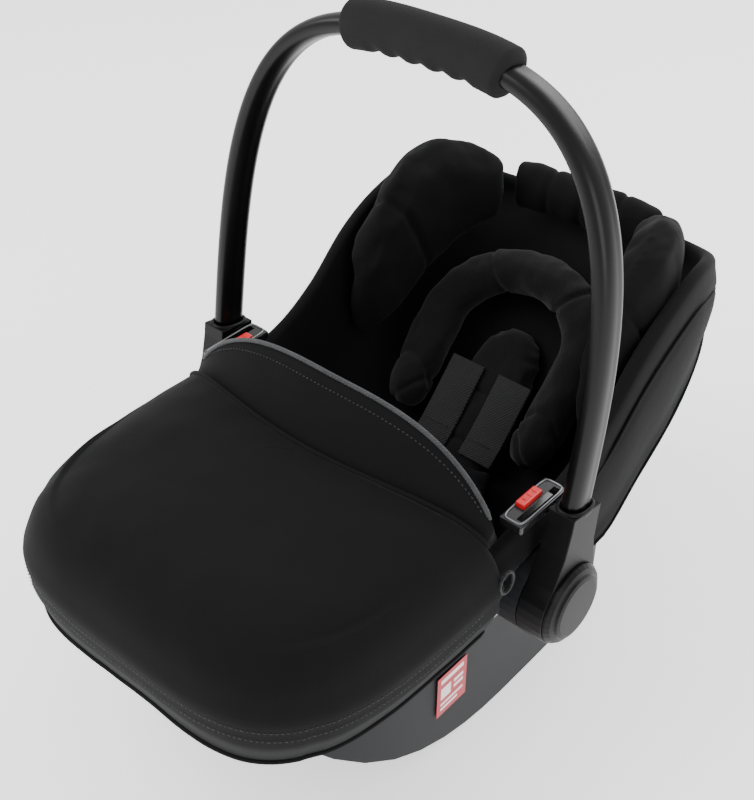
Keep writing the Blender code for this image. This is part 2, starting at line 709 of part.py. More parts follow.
def muff_point(turn, tilt):
    """A point of the muff: turn 0 is the toe end, tilt 0 its back edge's middle and a quarter turn the hem."""
    out = math.sin(tilt) ** (2 / MUFF_POWER)
    rise = 1 - max(math.cos(tilt), 0.0) ** (2 / MUFF_POWER)
    x = out * MUFF_HALF_WIDTH * signed_power(math.sin(turn), 2 / MUFF_PLAN_POWER)
    forward = out * max(math.cos(turn), 0.0) ** (2 / MUFF_PLAN_POWER)
    y = muff_back(x) + (MUFF_FRONT_Y - muff_back(x)) * forward
    hem = MUFF_HEM_SIDE + (MUFF_HEM_FRONT - MUFF_HEM_SIDE) * max(math.cos(turn), 0.0) ** 2
    return Vector((x, y, MUFF_CROWN - (MUFF_CROWN - hem) * rise))


def muff_tilts():
    shares = [math.sin(math.pi / 2 * (i + 0.5) / (RADIAL - 0.5)) for i in range(RADIAL)]
    return [math.asin(min(share, 1.0) ** (MUFF_POWER / 2)) for share in shares]


def foot_muff():
    """The padded bonnet over the legs, open to the head end and beneath."""
    around = [spread(math.pi * (i / 28 - 0.5), MUFF_PLAN_POWER) for i in range(29)]
    rings = [[muff_point(turn, tilt) for turn in around] for tilt in muff_tilts()]
    points, faces = loft(rings, closed=False, caps=False)
    faces.append(tuple(range(len(around))))
    made = add_object("foot_muff", same_way(mesh_from("foot_muff", points, faces)), FABRIC)
    solidify(made, MUFF_THICKNESS, INWARDS)
    return made


def same_way(data):
    """Gives an open surface one consistent side."""
    shape = bmesh.new()
    shape.from_mesh(data)
    bmesh.ops.recalc_face_normals(shape, faces=shape.faces)
    shape.to_mesh(data)
    shape.free()
    return data


def muff_top(x):
    """Height of the muff's back edge at x."""
    out = min(abs(x) / MUFF_HALF_WIDTH, 1.0)
    tilt = math.asin(out ** (MUFF_POWER / 2))
    rise = 1 - math.cos(tilt) ** (2 / MUFF_POWER)
    return MUFF_CROWN - (MUFF_CROWN - MUFF_HEM_SIDE) * rise


def muff_flap():
    """The turned-up edge behind the muff: a crescent that leans towards the head end."""
    columns, rows = 24, 4
    front, back = [], []
    for row in range(rows + 1):
        up = row / rows
        front_row, back_row = [], []
        for column in range(columns + 1):
            across = 2 * column / columns - 1
            x = across * 0.9 * MUFF_HALF_WIDTH
            height = 0.012 + (FLAP_HEIGHT - 0.012) * (1 - abs(across) ** 2.6)
            lean = FLAP_LEAN * height / FLAP_HEIGHT
            base = Vector((x, muff_back(x) + 0.007, muff_top(x) - 0.006))
            place = base + up * Vector((0, lean, height))
            swell = FLAP_THICKNESS * (1 - 0.45 * up**4)
            front_row.append(place)
            back_row.append(place + Vector((0, swell * height, -swell * lean)).normalized() * swell)
        front.append(front_row)
        back.append(back_row)
    outline = [f + b[::-1] for f, b in zip(front, back)]
    return add_object("muff_flap", outward(mesh_from("muff_flap", *loft(outline))), FABRIC)


# ---- Cushions and harness -----------------------------------------------------------------------------
def draped_pad(name, middle, half, inset, thickness, look, power=3.0, around=24):
    """A crowned cushion on the bucket's surface: middle and half sizes are in plan."""
    def ring(share, lift):
        points = []
        for i in range(around):
            turn = 2 * math.pi * i / around
            x = middle[0] + share * half[0] * signed_power(math.cos(turn), 2 / power)
            y = middle[1] + share * half[1] * signed_power(math.sin(turn), 2 / power)
            points.append(draped(x, y, inset + lift))
        return points
    top = [(share, thickness * (1 - share**3.5) ** 0.5) for share in (0.2, 0.5, 0.75, 0.92)]
    rings = [ring(0.15, 0.0), ring(0.5, 0.0), ring(0.93, 0.0), ring(1.0, 0.18 * thickness)]
    rings += [ring(share, max(lift, 0.2 * thickness)) for share, lift in reversed(top)]
    return add_object(name, outward(mesh_from(name, *loft(rings))), look)


def ribbon(name, path, inset, width, thickness, look, rounded=False):
    """A flat band over the bucket's surface through (x, y) points."""
    places = [draped(x, y, inset) for x, y in path]
    above = [draped(x, y, inset + 0.01) for x, y in path]
    rings = []
    for i, place in enumerate(places):
        up = (above[i] - place).normalized()
        way = (places[min(i + 1, len(path) - 1)] - places[max(i - 1, 0)]).normalized()
        side = up.cross(way).normalized()
        up = way.cross(side).normalized()
        if rounded:
            narrow = 0.86 if i in (0, len(path) - 1) else 1.0
            section = [(a * narrow, b) for a, b in oval(width / 2, thickness / 2, 12, 4.0)]
            rings.append([place + a * side + (b + thickness / 2) * up for a, b in section])
        else:
            rings.append([place + a * side + b * up for a, b in
                          ((-width / 2, 0), (width / 2, 0), (width / 2, thickness), (-width / 2, thickness))])
    return add_object(name, outward(mesh_from(name, *loft(rings))), look)


def between(start, end, count):
    return [(start[0] + (end[0] - start[0]) * i / count, start[1] + (end[1] - start[1]) * i / count)
            for i in range(count + 1)]


def wing(side):
    """A standing cushion beside the head, following the rim inside the cover."""
    rings = []
    steps = 12
    for i in range(steps + 1):
        direction = math.radians(WING_START + (WING_END - WING_START) * i / steps)
        x, y = plan_point(spread(direction, HEAD_POWER))
        ahead = plan_point(spread(direction + 0.02, HEAD_POWER))
        x, y = WING_SHARE * x, RIM_MIDDLE_Y + WING_SHARE * (y - RIM_MIDDLE_Y)
        way = Vector((WING_SHARE * ahead[0] - x, RIM_MIDDLE_Y + WING_SHARE * (ahead[1] - RIM_MIDDLE_Y) - y, 0))
        out = way.normalized().cross(Vector((0, 0, 1)))
        low = bucket_height(x, y) + WING_LIFT
        high = on_line(WING_LINE, y)
        full = math.sin(math.pi * (0.06 + 0.88 * i / steps)) ** 0.35
        middle = Vector((x, y, (low + high) / 2))
        rings.append([middle + a * out + b * Vector((0, 0, 1))
                      for a, b in oval(WING_THICKNESS / 2 * full, (high - low) / 2 * full, 12, 2.6)])
    points, faces = loft(rings)
    points = [Vector((side * point.x, point.y, point.z)) for point in points]
    name = "wing_cushion_" + NAMES[side]
    return add_object(name, outward(mesh_from(name, points, faces)), FABRIC)


def head_cushion():
    """The cushion across the head end, between the wings."""
    rings = []
    steps = 12
    for i in range(steps + 1):
        direction = math.radians(WING_END + 6 + (168 - 2 * WING_END) * i / steps)
        x, y = plan_point(spread(direction, HEAD_POWER))
        x, y = HEAD_SHARE * x, RIM_MIDDLE_Y + HEAD_SHARE * (y - RIM_MIDDLE_Y)
        low = bucket_height(x, y) + WING_LIFT
        high = HEAD_CUSHION_TOP
        out = Vector((x, y - RIM_MIDDLE_Y, 0)).normalized()
        middle = Vector((x, y, (low + high) / 2))
        rings.append([middle + a * out + b * Vector((0, 0, 1))
                      for a, b in oval(WING_THICKNESS / 3, (high - low) / 2, 12, 2.6)])
    return add_object("head_cushion", outward(mesh_from("head_cushion", *loft(rings))), FABRIC)


def head_roll():
    """The infant insert's roll: a padded U round the head."""
    path = between((-ROLL_HALF_WIDTH, ROLL_START_Y), (-ROLL_HALF_WIDTH, ROLL_BEND_Y), 4)[:-1]
    path += [(-ROLL_HALF_WIDTH * math.cos(math.pi * i / 12),
              ROLL_BEND_Y + ROLL_TOP * math.sin(math.pi * i / 12)) for i in range(13)]
    path += between((ROLL_HALF_WIDTH, ROLL_BEND_Y), (ROLL_HALF_WIDTH, ROLL_START_Y), 4)[1:]
    places = [draped(x, y, COVER_TOP + 0.001 + ROLL_RADIUS) for x, y in path]
    rings = []
    for i, place in enumerate(places):
        way = (places[min(i + 1, len(places) - 1)] - places[max(i - 1, 0)]).normalized()
        side = way.cross(Vector((0, 0, 1))).normalized()
        up = side.cross(way)
        full = ROLL_RADIUS * (0.6 if i in (0, len(places) - 1) else 1.0)
        rings.append([place + a * side + b * up for a, b in oval(full, full, 12)])
    return add_object("head_roll", outward(mesh_from("head_roll", *loft(rings))), FABRIC)


def harness(side):
    """Strap from the back, shoulder pad, strap from the pad to its tongue, and the tongue, laid open."""
    tag = NAMES[side]
    on_insert = INSERT_TOP + 0.002
    upper = between((side * 0.028, 0.205), (side * 0.028, 0.140), 4)
    pad = [(side * x, y) for x, y in ((0.029, 0.134), (0.034, 0.116), (0.045, 0.100), (0.060, 0.086),
                                      (0.077, 0.074), (0.095, 0.064))]
    lower = [(side * x, y) for x, y in ((0.0985, 0.061), (0.106, 0.056), (0.112, 0.049), (0.116, 0.040),
                                        (0.118, 0.029), (0.119, 0.018))]
    tongue = between((side * 0.119, 0.015), (side * 0.119, -0.020), 2)
    return [ribbon("shoulder_strap_" + tag, upper, on_insert + 0.004, WEB_WIDTH, WEB_THICKNESS, WEBBING),
            ribbon("shoulder_pad_" + tag, pad, on_insert, PAD_WIDTH, PAD_THICKNESS, FABRIC, rounded=True),
            ribbon("lap_strap_" + tag, lower, on_insert + 0.004, WEB_WIDTH, WEB_THICKNESS, WEBBING),
            ribbon("buckle_tongue_" + tag, tongue, on_insert + 0.004, 0.030, 0.003, BLACK)]


def buckle():
    """Crotch strap and pad with the buckle on them; the red button is pressed down."""
    pad_low = INSERT_TOP + 0.001
    made = [ribbon("crotch_pad", between((0, -0.074), (0, 0.004), 5), pad_low, 0.058, 0.007, FABRIC, True),
            ribbon("crotch_strap", between((0, -0.130), (0, -0.084), 3), pad_low + 0.0085, WEB_WIDTH,
                   WEB_THICKNESS, WEBBING)]
    low = max(draped(0, BUCKLE_Y + away, pad_low + 0.008).z for away in (-0.038, -0.029, 0.0, 0.029)) + GAP
    half = Vector((0.0225, 0.029, 0))
    corner = Vector((0, BUCKLE_Y, 0))
    body = box("buckle_body", corner - half + Vector((0, 0, low)), corner + half + Vector((0, 0, low + 0.016)),
               BLACK, 0.003)
    size = Vector((0.010, 0.009, 0))
    at = Vector((0, BUCKLE_Y - 0.010, 0))
    rim = Vector((GAP, GAP, 0))
    cut(body, as_cutter(box("buckle well", at - size - rim + Vector((0, 0, low + 0.009)),
                            at + size + rim + Vector((0, 0, low + 0.03)), BLACK)))
    button = box("buckle_button", at - size + Vector((0, 0, low + 0.009 + BUTTON_TRAVEL + GAP)),
                 at + size + Vector((0, 0, low + 0.0185)), RED, 0.0012)
    return made + [body, button]


def adjuster():
    """Under the muff: the button that frees the harness strap, in its frame, and the strap's free end."""
    low = max(draped(x, y, COVER_TOP).z for x in (0, 0.024) for y in (ADJUSTER_Y - 0.02, ADJUSTER_Y)) + 0.001
    corner = Vector((0, ADJUSTER_Y, 0))
    half = Vector((0.024, 0.015, 0))
    frame = box("adjuster_frame", corner - half + Vector((0, 0, low)), corner + half + Vector((0, 0, low + 0.012)),
                BLACK, 0.002)
    size = Vector((0.013, 0.008, 0))
    rim = Vector((GAP, GAP, 0))
    cut(frame, as_cutter(box("adjuster well", corner - size - rim + Vector((0, 0, low + 0.005)),
                             corner + size + rim + Vector((0, 0, low + 0.03)), BLACK)))
    button = box("adjuster_button", corner - size + Vector((0, 0, low + 0.005 + BUTTON_TRAVEL + GAP)),
                 corner + size + Vector((0, 0, low + 0.015)), BLACK, 0.001)
    strap = ribbon("adjuster_strap", between((0, ADJUSTER_Y - 0.028), (0, ADJUSTER_Y - 0.085), 5),
                   COVER_TOP + 0.003, 0.025, WEB_THICKNESS, WEBBING)
    return [frame, button, strap]


def safety_label():
    x = base_half_width(LABEL_Y)
    return box("safety_label", (x + 2 * GAP, LABEL_Y - 0.020, LABEL_Z - 0.025),
               (x + 2 * GAP + 0.0005, LABEL_Y + 0.020, LABEL_Z + 0.025), LABEL)


# ---- Assembly -----------------------------------------------------------------------------------------
def centre_on_floor(pieces):
    """Moves the pieces so that the origin lies under the middle of the seat's box, on the floor."""
    bpy.context.view_layer.update()
    graph = bpy.context.evaluated_depsgraph_get()
    corners = []
    for piece in pieces:
        seen = piece.evaluated_get(graph)
        data = seen.to_mesh()
        corners += [seen.matrix_world @ vertex.co for vertex in data.vertices]
        seen.to_mesh_clear()
    low = Vector([min(point[axis] for point in corners) for axis in range(3)])
    high = Vector([max(point[axis] for point in corners) for axis in range(3)])
    shift = Matrix.Translation((-(low.x + high.x) / 2, -(low.y + high.y) / 2, -low.z))
    for thing in list(PARTS.objects) + list(CUTTERS.objects):
        thing.matrix_world = shift @ thing.matrix_world
    bpy.context.view_layer.update()


def main():
    room = shell_cutter()
    hub_rooms = [hub_cutter(side) for side in (1, -1)]
    made = [seat_shell(), seat_cover(hub_rooms), rocker_base(room), *cross_bars()]
    for side in (1, -1):
        made += [hub_base(side, room), release_button(side), release_spring(side), pivot_pin(side)]
        made += [handle_socket(side), hub_cap(side), belt_guide(side), belt_button(side)]
        made += [wing(side), *harness(side)]
    made += [handle_tube(), foam_grip(), foot_muff(), muff_flap()]
    made += [draped_pad("seat_insert", (0.0, -0.012), (0.092, 0.084), COVER_TOP, INSERT_THICKNESS, FABRIC),
             draped_pad("back_insert", (0.0, 0.160), (0.050, 0.083), COVER_TOP, INSERT_THICKNESS, FABRIC)]
    made += [head_roll(), head_cushion(), *buckle(), *adjuster(), safety_label()]
    centre_on_floor(made)


NAMES = {1: "right", -1: "left"}
AXES_YZ = Matrix(((0, 0, 1, 0), (1, 0, 0, 0), (0, 1, 0, 0), (0, 0, 0, 1)))  # local X, Y, Z to Y, Z, X
COVER_TOP = SHELL_WALL + LINER_GAP + COVER_THICKNESS + PAD_CLEARANCE
INSERT_TOP = COVER_TOP + INSERT_THICKNESS
clear_scene()
PARTS = new_collection("infant_car_seat")
CUTTERS = new_collection("cutters")
PLASTIC = new_material("grey shell plastic", "#3c3d40", 0.5)
BLACK = new_material("black fitting plastic", "#19191b", 0.35)
TUBE = new_material("satin painted tube", "#232427", 0.35, 0.3)
STEEL = new_material("plated steel", "#b4b6b8", 0.3, 1.0)
FOAM = new_material("grip foam", "#161617", 0.9)
FABRIC = new_material("black fabric", "#1a1a1b", 0.95)
WEBBING = new_material("harness webbing", "#1d1d1e", 0.8)
RED = new_material("red button plastic", "#d8322f", 0.4)
LABEL = new_material("printed label", "#c9414b", 0.5)
main()
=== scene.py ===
"""Infant car seat: the soft goods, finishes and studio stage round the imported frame.

Metres, +Z up, +Y to the head end, +X to the right. Lengths along the seat are counted from the handle axis.
"""

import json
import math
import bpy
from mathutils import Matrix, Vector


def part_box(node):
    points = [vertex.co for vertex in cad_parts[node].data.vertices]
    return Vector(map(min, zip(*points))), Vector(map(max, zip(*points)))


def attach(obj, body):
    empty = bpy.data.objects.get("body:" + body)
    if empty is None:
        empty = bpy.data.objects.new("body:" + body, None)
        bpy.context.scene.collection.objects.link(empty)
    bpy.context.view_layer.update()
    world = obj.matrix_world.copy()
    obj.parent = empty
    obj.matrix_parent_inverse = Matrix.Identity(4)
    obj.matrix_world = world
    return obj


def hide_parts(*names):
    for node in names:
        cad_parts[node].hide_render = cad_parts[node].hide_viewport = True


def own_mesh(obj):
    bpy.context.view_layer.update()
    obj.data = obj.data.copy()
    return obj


bl_info = {
    "name": "Infant Car Seat",
    "version": (1, 0, 0),
    "blender": (4, 5, 0),
    "location": "View3D > Sidebar > Car Seat",
    "description": "Builds the cover, muff, cushions, harness and fittings of an infant car seat",
    "category": "Object",
}

import bmesh
import bpy
from bpy.props import FloatProperty, FloatVectorProperty, PointerProperty
from mathutils import Matrix, Vector, noise

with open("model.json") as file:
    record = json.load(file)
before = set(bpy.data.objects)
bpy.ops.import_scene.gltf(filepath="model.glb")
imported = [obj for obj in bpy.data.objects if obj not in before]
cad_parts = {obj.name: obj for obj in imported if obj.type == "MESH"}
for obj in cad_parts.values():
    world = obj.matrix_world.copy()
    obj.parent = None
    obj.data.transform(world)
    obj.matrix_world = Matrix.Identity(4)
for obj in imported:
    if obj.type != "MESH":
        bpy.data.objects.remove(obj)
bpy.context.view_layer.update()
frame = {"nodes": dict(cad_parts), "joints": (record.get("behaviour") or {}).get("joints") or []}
AXIS = Vector(next(j for j in frame["joints"] if j["name"] == "handle_swing")["pos_m"])
RIM = 0.170                      # half width of the bucket's rim
MIDDLE = 0.040                   # middle of the rim's plan, from the handle axis
TO_FOOT, TO_HEAD = 0.300, 0.316
FOOT_POWER, HEAD_POWER, WALL_POWER = 3.2, 4.1, 2.9
RIM_LINE = ((-0.26, 0.183), (-0.15, 0.202), (-0.04, 0.227), (0.05, 0.241), (0.10, 0.268),
            (0.145, 0.308), (0.19, 0.333), (0.24, 0.345), (0.29, 0.333), (0.352, 0.302))
FLOOR_LINE = ((-0.26, 0.165), (-0.20, 0.112), (-0.10, 0.076), (0.0, 0.060), (0.08, 0.074),
              (0.15, 0.118), (0.22, 0.184), (0.29, 0.245), (0.352, 0.272))
SKIRT_LINE = ((-0.26, 0.168), (-0.12, 0.205), (-0.06, 0.206), (0.02, 0.162), (0.112, 0.137),
              (0.166, 0.173), (0.229, 0.208), (0.277, 0.237), (0.313, 0.252), (0.352, 0.258))
LINER = 0.0101                   # from the shell's outside to the liner's face
MUFF_WIDE = 0.185
MUFF_FRONT, MUFF_BACK, MUFF_SWEEP, MUFF_CROWN = -0.303, -0.096, 0.038, 0.281
MUFF_POWER, MUFF_PLAN = 4.2, 3.8
MUFF_HEM_SIDE, MUFF_HEM_FRONT = 0.158, 0.164
FLAP_HEIGHT, FLAP_LEAN, FLAP_THICK = 0.052, 0.038, 0.008
HANDLE_TILT = math.radians(8.8)
HALVINGS = 22                    # steps of a search that halves its span each time
WAVE_SCALE = 0.628               # a wave texture of scale 0.628 / s repeats every s metres
SIDES = {1: "right", -1: "left"}


# ---- Settings a user may change ------------------------------------------------------------------------
def colour(name, text, hexa):
    return FloatVectorProperty(name=name, description=text, subtype="COLOR_GAMMA", size=3, min=0.0, max=1.0,
                               default=[int(hexa[i:i + 2], 16) / 255 for i in (1, 3, 5)])


class SeatFinishes(bpy.types.PropertyGroup):
    """Colours of the seat's materials, in sRGB."""
    cloth: colour("Cover cloth", "Woven polyester of the cover and muff", "#070708")
    insert: colour("Insert cloth", "Softer cloth of the insert and head roll", "#0b0b0c")
    webbing: colour("Webbing", "Harness straps", "#0f0f10")
    tape: colour("Piping tape", "Grey binding at the muff's flap and seams", "#333436")
    plastic: colour("Shell plastic", "Moulded PP of shell, base and hubs", "#1c1d1f")
    tube: colour("Handle", "Satin handle arch", "#060607")
    button: colour("Buttons", "Red ABS of every release", "#c9181d")
    label: colour("Label", "Plain printed panel on the base", "#ad1f30")


class SeatSizes(bpy.types.PropertyGroup):
    """Sizes of the soft goods and trims."""
    piping: FloatProperty(name="Piping", description="Radius of the piped edges", default=0.0021,
                          min=0.001, max=0.004, unit="LENGTH", subtype="DISTANCE")
    wrinkle: FloatProperty(name="Wrinkle", description="Depth of the cover's soft folds", default=0.0022,
                           min=0.0, max=0.005, unit="LENGTH", subtype="DISTANCE")
    loft: FloatProperty(name="Loft", description="How far a stuffed piece may swell", default=0.0085,
                        min=0.0, max=0.02, unit="LENGTH", subtype="DISTANCE")
    stitch: FloatProperty(name="Stitch", description="Length of one stitch", default=0.0042,
                          min=0.002, max=0.01, unit="LENGTH", subtype="DISTANCE")
    scallop: FloatProperty(name="Finger scallop", description="Depth of the grip's finger hollows",
                           default=0.0034, min=0.0, max=0.006, unit="LENGTH", subtype="DISTANCE")


# ---- Materials ---------------------------------------------------------------------------------------
def linear(value):
    """An sRGB colour, hex or 0 to 1, as linear RGBA."""
    if isinstance(value, str):
        value = [int(value[i:i + 2], 16) / 255 for i in (1, 3, 5)]
    return [c / 12.92 if c <= 0.04045 else ((c + 0.055) / 1.055) ** 2.4 for c in value] + [1.0]


def add(tree, kind, inputs=None, **settings):
    """A shader node with its settings; an input that is a socket is linked and any other is set."""
    node = tree.nodes.new("ShaderNode" + kind)
    for key, value in settings.items():
        setattr(node, key, value)
    for key, value in (inputs or {}).items():
        if isinstance(value, bpy.types.NodeSocket):
            tree.links.new(value, node.inputs[key])
        else:
            node.inputs[key].default_value = value
    return node


def surface(name, roughness, **constants):
    """A new material with its tree, its Principled shader and the coordinates in metres."""
    made = bpy.data.materials.new(name)
    made.use_nodes = True
    tree = made.node_tree
    shader = tree.nodes["Principled BSDF"]
    shader.inputs["Roughness"].default_value = roughness
    for key, value in constants.items():
        shader.inputs[key.replace("_", " ")].default_value = value
    return made, tree, shader, add(tree, "TexCoord").outputs["Object"]


def tint(tree, shader, where, base, contrast, scale):
    """Base colour that drifts between two shades of itself, as handling and dye lots leave it."""
    dark = [c * (1 - contrast) for c in base[:3]] + [1.0]
    light = [min(c * (1 + contrast), 1.0) for c in base[:3]] + [1.0]
    cloud = add(tree, "TexNoise", {"Vector": where, "Scale": scale, "Detail": 4.0, "Roughness": 0.6})
    ramp = add(tree, "ValToRGB", {"Fac": cloud.outputs["Fac"]})
    ramp.color_ramp.elements[0].position = 0.3
    ramp.color_ramp.elements[0].color = dark
    ramp.color_ramp.elements[1].position = 0.7
    ramp.color_ramp.elements[1].color = light
    tree.links.new(ramp.outputs["Color"], shader.inputs["Base Color"])
    return ramp, cloud


def rough_drift(tree, shader, cloud, low, high):
    span = add(tree, "MapRange", {"Value": cloud.outputs["Fac"], "To Min": low, "To Max": high})
    tree.links.new(span.outputs["Result"], shader.inputs["Roughness"])


def relief(tree, shader, height, distance, strength=1.0, below=None):
    """Bump from a height socket; distance is the real depth in metres."""
    inputs = {"Height": height, "Distance": distance, "Strength": strength}
    if below is not None:
        inputs["Normal"] = below.outputs["Normal"]
    made = add(tree, "Bump", inputs)
    tree.links.new(made.outputs["Normal"], shader.inputs["Normal"])
    return made


def threads(tree, where, spacing, slant):
    """Ridges of one thread direction, on planes that run slantwise so that no face lies flat to them."""
    turned = add(tree, "Mapping", {"Vector": where, "Scale": slant})
    ridges = {"Vector": turned.outputs["Vector"], "Scale": WAVE_SCALE / spacing, "Distortion": 0.35,
              "Detail": 1.0, "Detail Scale": 2.0}
    return add(tree, "TexWave", ridges, bands_direction="DIAGONAL")


def woven_polyester(name, value, spacing, depth, contrast=0.18, sheen=0.03):
    """Plain-woven polyester: two crossing thread directions give a dry, even face with a faint sheen."""
    made, tree, shader, where = surface(name, 0.88, Sheen_Weight=sheen, Sheen_Roughness=0.45,
                                        Specular_IOR_Level=0.16)
    shader.inputs["Sheen Tint"].default_value = (0.75, 0.76, 0.8, 1.0)
    _, cloud = tint(tree, shader, where, linear(value), contrast, 14.0)
    rough_drift(tree, shader, cloud, 0.80, 0.94)
    warp = threads(tree, where, spacing, (1.0, 1.0, 1.0))
    weft = threads(tree, where, spacing, (-1.0, 1.0, 0.55))
    cross = add(tree, "Math", {0: warp.outputs["Fac"], 1: weft.outputs["Fac"]}, operation="MULTIPLY")
    weave = relief(tree, shader, cross.outputs["Value"], depth, 0.4)
    # Slack in the cloth, a few centimetres across
    slack = add(tree, "TexNoise", {"Vector": where, "Scale": 38.0, "Detail": 2.0})
    relief(tree, shader, slack.outputs["Fac"], 0.0012, 0.35, weave)
    return made


def knitted_jersey(name, value):
    """Brushed jersey of the insert: fine loops in rows, a softer and slightly greyer face."""
    made, tree, shader, where = surface(name, 0.92, Sheen_Weight=0.10, Sheen_Roughness=0.5,
                                        Specular_IOR_Level=0.18)
    _, cloud = tint(tree, shader, where, linear(value), 0.25, 22.0)
    rough_drift(tree, shader, cloud, 0.86, 0.97)
    wale = threads(tree, where, 0.0026, (1.0, 0.25, 0.6))
    loops = add(tree, "TexVoronoi", {"Vector": where, "Scale": 520.0})
    both = add(tree, "Math", {0: wale.outputs["Fac"], 1: loops.outputs["Distance"]}, operation="ADD")
    weave = relief(tree, shader, both.outputs["Value"], 0.00035, 0.6)
    slack = add(tree, "TexNoise", {"Vector": where, "Scale": 60.0, "Detail": 3.0})
    relief(tree, shader, slack.outputs["Fac"], 0.0015, 0.5, weave)
    return made


def polyester_webbing(name, value):
    """Tight twill webbing: close diagonal ribs that catch a line of light along the strap."""
    made, tree, shader, where = surface(name, 0.62, Sheen_Weight=0.12, Specular_IOR_Level=0.35)
    _, cloud = tint(tree, shader, where, linear(value), 0.3, 90.0)
    rough_drift(tree, shader, cloud, 0.52, 0.72)
    # Ribs every 1.6 mm, a little coarser than real so that they show
    twill = threads(tree, where, 0.0016, (1.0, 1.0, 0.2))
    back = threads(tree, where, 0.0032, (-1.0, 1.0, 0.2))
    both = add(tree, "Math", {0: twill.outputs["Fac"], 1: back.outputs["Fac"]}, operation="ADD")
    relief(tree, shader, both.outputs["Value"], 0.0004, 0.8)
    return made


def moulded_pp(name, value, low=0.42, high=0.56):
    """Polypropylene from a spark-eroded mould: fine grain that breaks a highlight into a soft haze."""
    made, tree, shader, where = surface(name, 0.5, IOR=1.49, Specular_IOR_Level=0.16)
    _, cloud = tint(tree, shader, where, linear(value), 0.10, 9.0)
    rough_drift(tree, shader, cloud, low, high)
    # Grain of 0.9 mm, drawn coarser than the real 0.3 mm so that it shows
    grain = add(tree, "TexNoise", {"Vector": where, "Scale": 1100.0, "Detail": 2.0})
    fine = relief(tree, shader, grain.outputs["Fac"], 0.00022, 0.55)
    flow = add(tree, "TexNoise", {"Vector": where, "Scale": 26.0, "Detail": 1.0})
    relief(tree, shader, flow.outputs["Fac"], 0.0004, 0.15, fine)
    return made


def satin_lacquer(name, value):
    """Satin-lacquered arch: a smooth coat over a dark body, with long soft highlights."""
    made, tree, shader, where = surface(name, 0.34, Coat_Weight=0.05, Coat_Roughness=0.24,
                                        Specular_IOR_Level=0.20)
    _, cloud = tint(tree, shader, where, linear(value), 0.08, 12.0)
    rough_drift(tree, shader, cloud, 0.28, 0.38)
    peel = add(tree, "TexNoise", {"Vector": where, "Scale": 420.0, "Detail": 1.0})
    relief(tree, shader, peel.outputs["Fac"], 0.00010, 0.35)
    return made


def eva_foam(name, value):
    """Closed-cell EVA sleeve: matt, with open pores under a millimetre across."""
    made, tree, shader, where = surface(name, 0.9, Specular_IOR_Level=0.25)
    _, cloud = tint(tree, shader, where, linear(value), 0.22, 40.0)
    rough_drift(tree, shader, cloud, 0.84, 0.96)
    pores = add(tree, "TexVoronoi", {"Vector": where, "Scale": 900.0})
    fine = relief(tree, shader, pores.outputs["Distance"], 0.0003, 0.7)
    dimple = add(tree, "TexNoise", {"Vector": where, "Scale": 150.0, "Detail": 2.0})
    relief(tree, shader, dimple.outputs["Fac"], 0.0005, 0.3, fine)
    return made


def polished_abs(name, value, low=0.16, high=0.28):
    """ABS from a polished mould: clean reflections with faint wear scratches."""
    made, tree, shader, where = surface(name, 0.2, IOR=1.54, Specular_IOR_Level=0.5)
    _, cloud = tint(tree, shader, where, linear(value), 0.06, 60.0)
    rough_drift(tree, shader, cloud, low, high)
    scratch = add(tree, "TexNoise", {"Vector": add(tree, "Mapping", {"Vector": where, "Scale": (1, 9, 1)})
                                     .outputs["Vector"], "Scale": 260.0, "Detail": 3.0})
    relief(tree, shader, scratch.outputs["Fac"], 0.00008, 0.4)
    return made


def zinc_steel(name, value="#b7b9bb"):
    """Zinc-plated steel: bright, slightly cloudy, drawn lengthwise."""
    made, tree, shader, where = surface(name, 0.3, Metallic=1.0)
    _, cloud = tint(tree, shader, where, linear(value), 0.08, 130.0)
    rough_drift(tree, shader, cloud, 0.22, 0.38)
    drawn = add(tree, "TexNoise", {"Vector": add(tree, "Mapping", {"Vector": where, "Scale": (0.05, 1, 1)})
                                   .outputs["Vector"], "Scale": 900.0, "Detail": 2.0})
    relief(tree, shader, drawn.outputs["Fac"], 0.00008, 0.5)
    return made


def seamless_paper(name, value):
    """Studio background paper: flat and matt."""
    made, tree, shader, where = surface(name, 0.95, Specular_IOR_Level=0.1, Emission_Strength=0.9)
    shader.inputs["Emission Color"].default_value = (1.0, 1.0, 1.0, 1.0)
    tint(tree, shader, where, linear(value), 0.006, 3.0)
    return made


FINISH = {}


def make_finishes(look):
    """Every material by the piece-maker's word for it."""
    FINISH.update(
        cloth=woven_polyester("woven polyester", look.cloth, 0.0014, 0.00018),
        jersey=knitted_jersey("brushed jersey", look.insert),
        webbing=polyester_webbing("polyester webbing", look.webbing),
        tape=polyester_webbing("piping tape", look.tape),
        thread=polyester_webbing("sewing thread", "#1d1d1f"),
        plastic=moulded_pp("moulded PP", look.plastic),
        socket=moulded_pp("moulded PP, darker hub", look.tube, 0.36, 0.48),
        tube=satin_lacquer("satin lacquer", look.tube),
        foam=eva_foam("EVA foam", "#161617"),
        black=polished_abs("polished ABS, black", "#151516"),
        chrome=zinc_steel("dark plating", "#77797c"),
        red=polished_abs("polished ABS, red", look.button, 0.24, 0.36),
        steel=zinc_steel("zinc-plated steel"),
        label=polished_abs("printed polyester film", look.label, 0.38, 0.5),
        ink=polished_abs("white ink", "#e9d9da", 0.4, 0.5),
    )


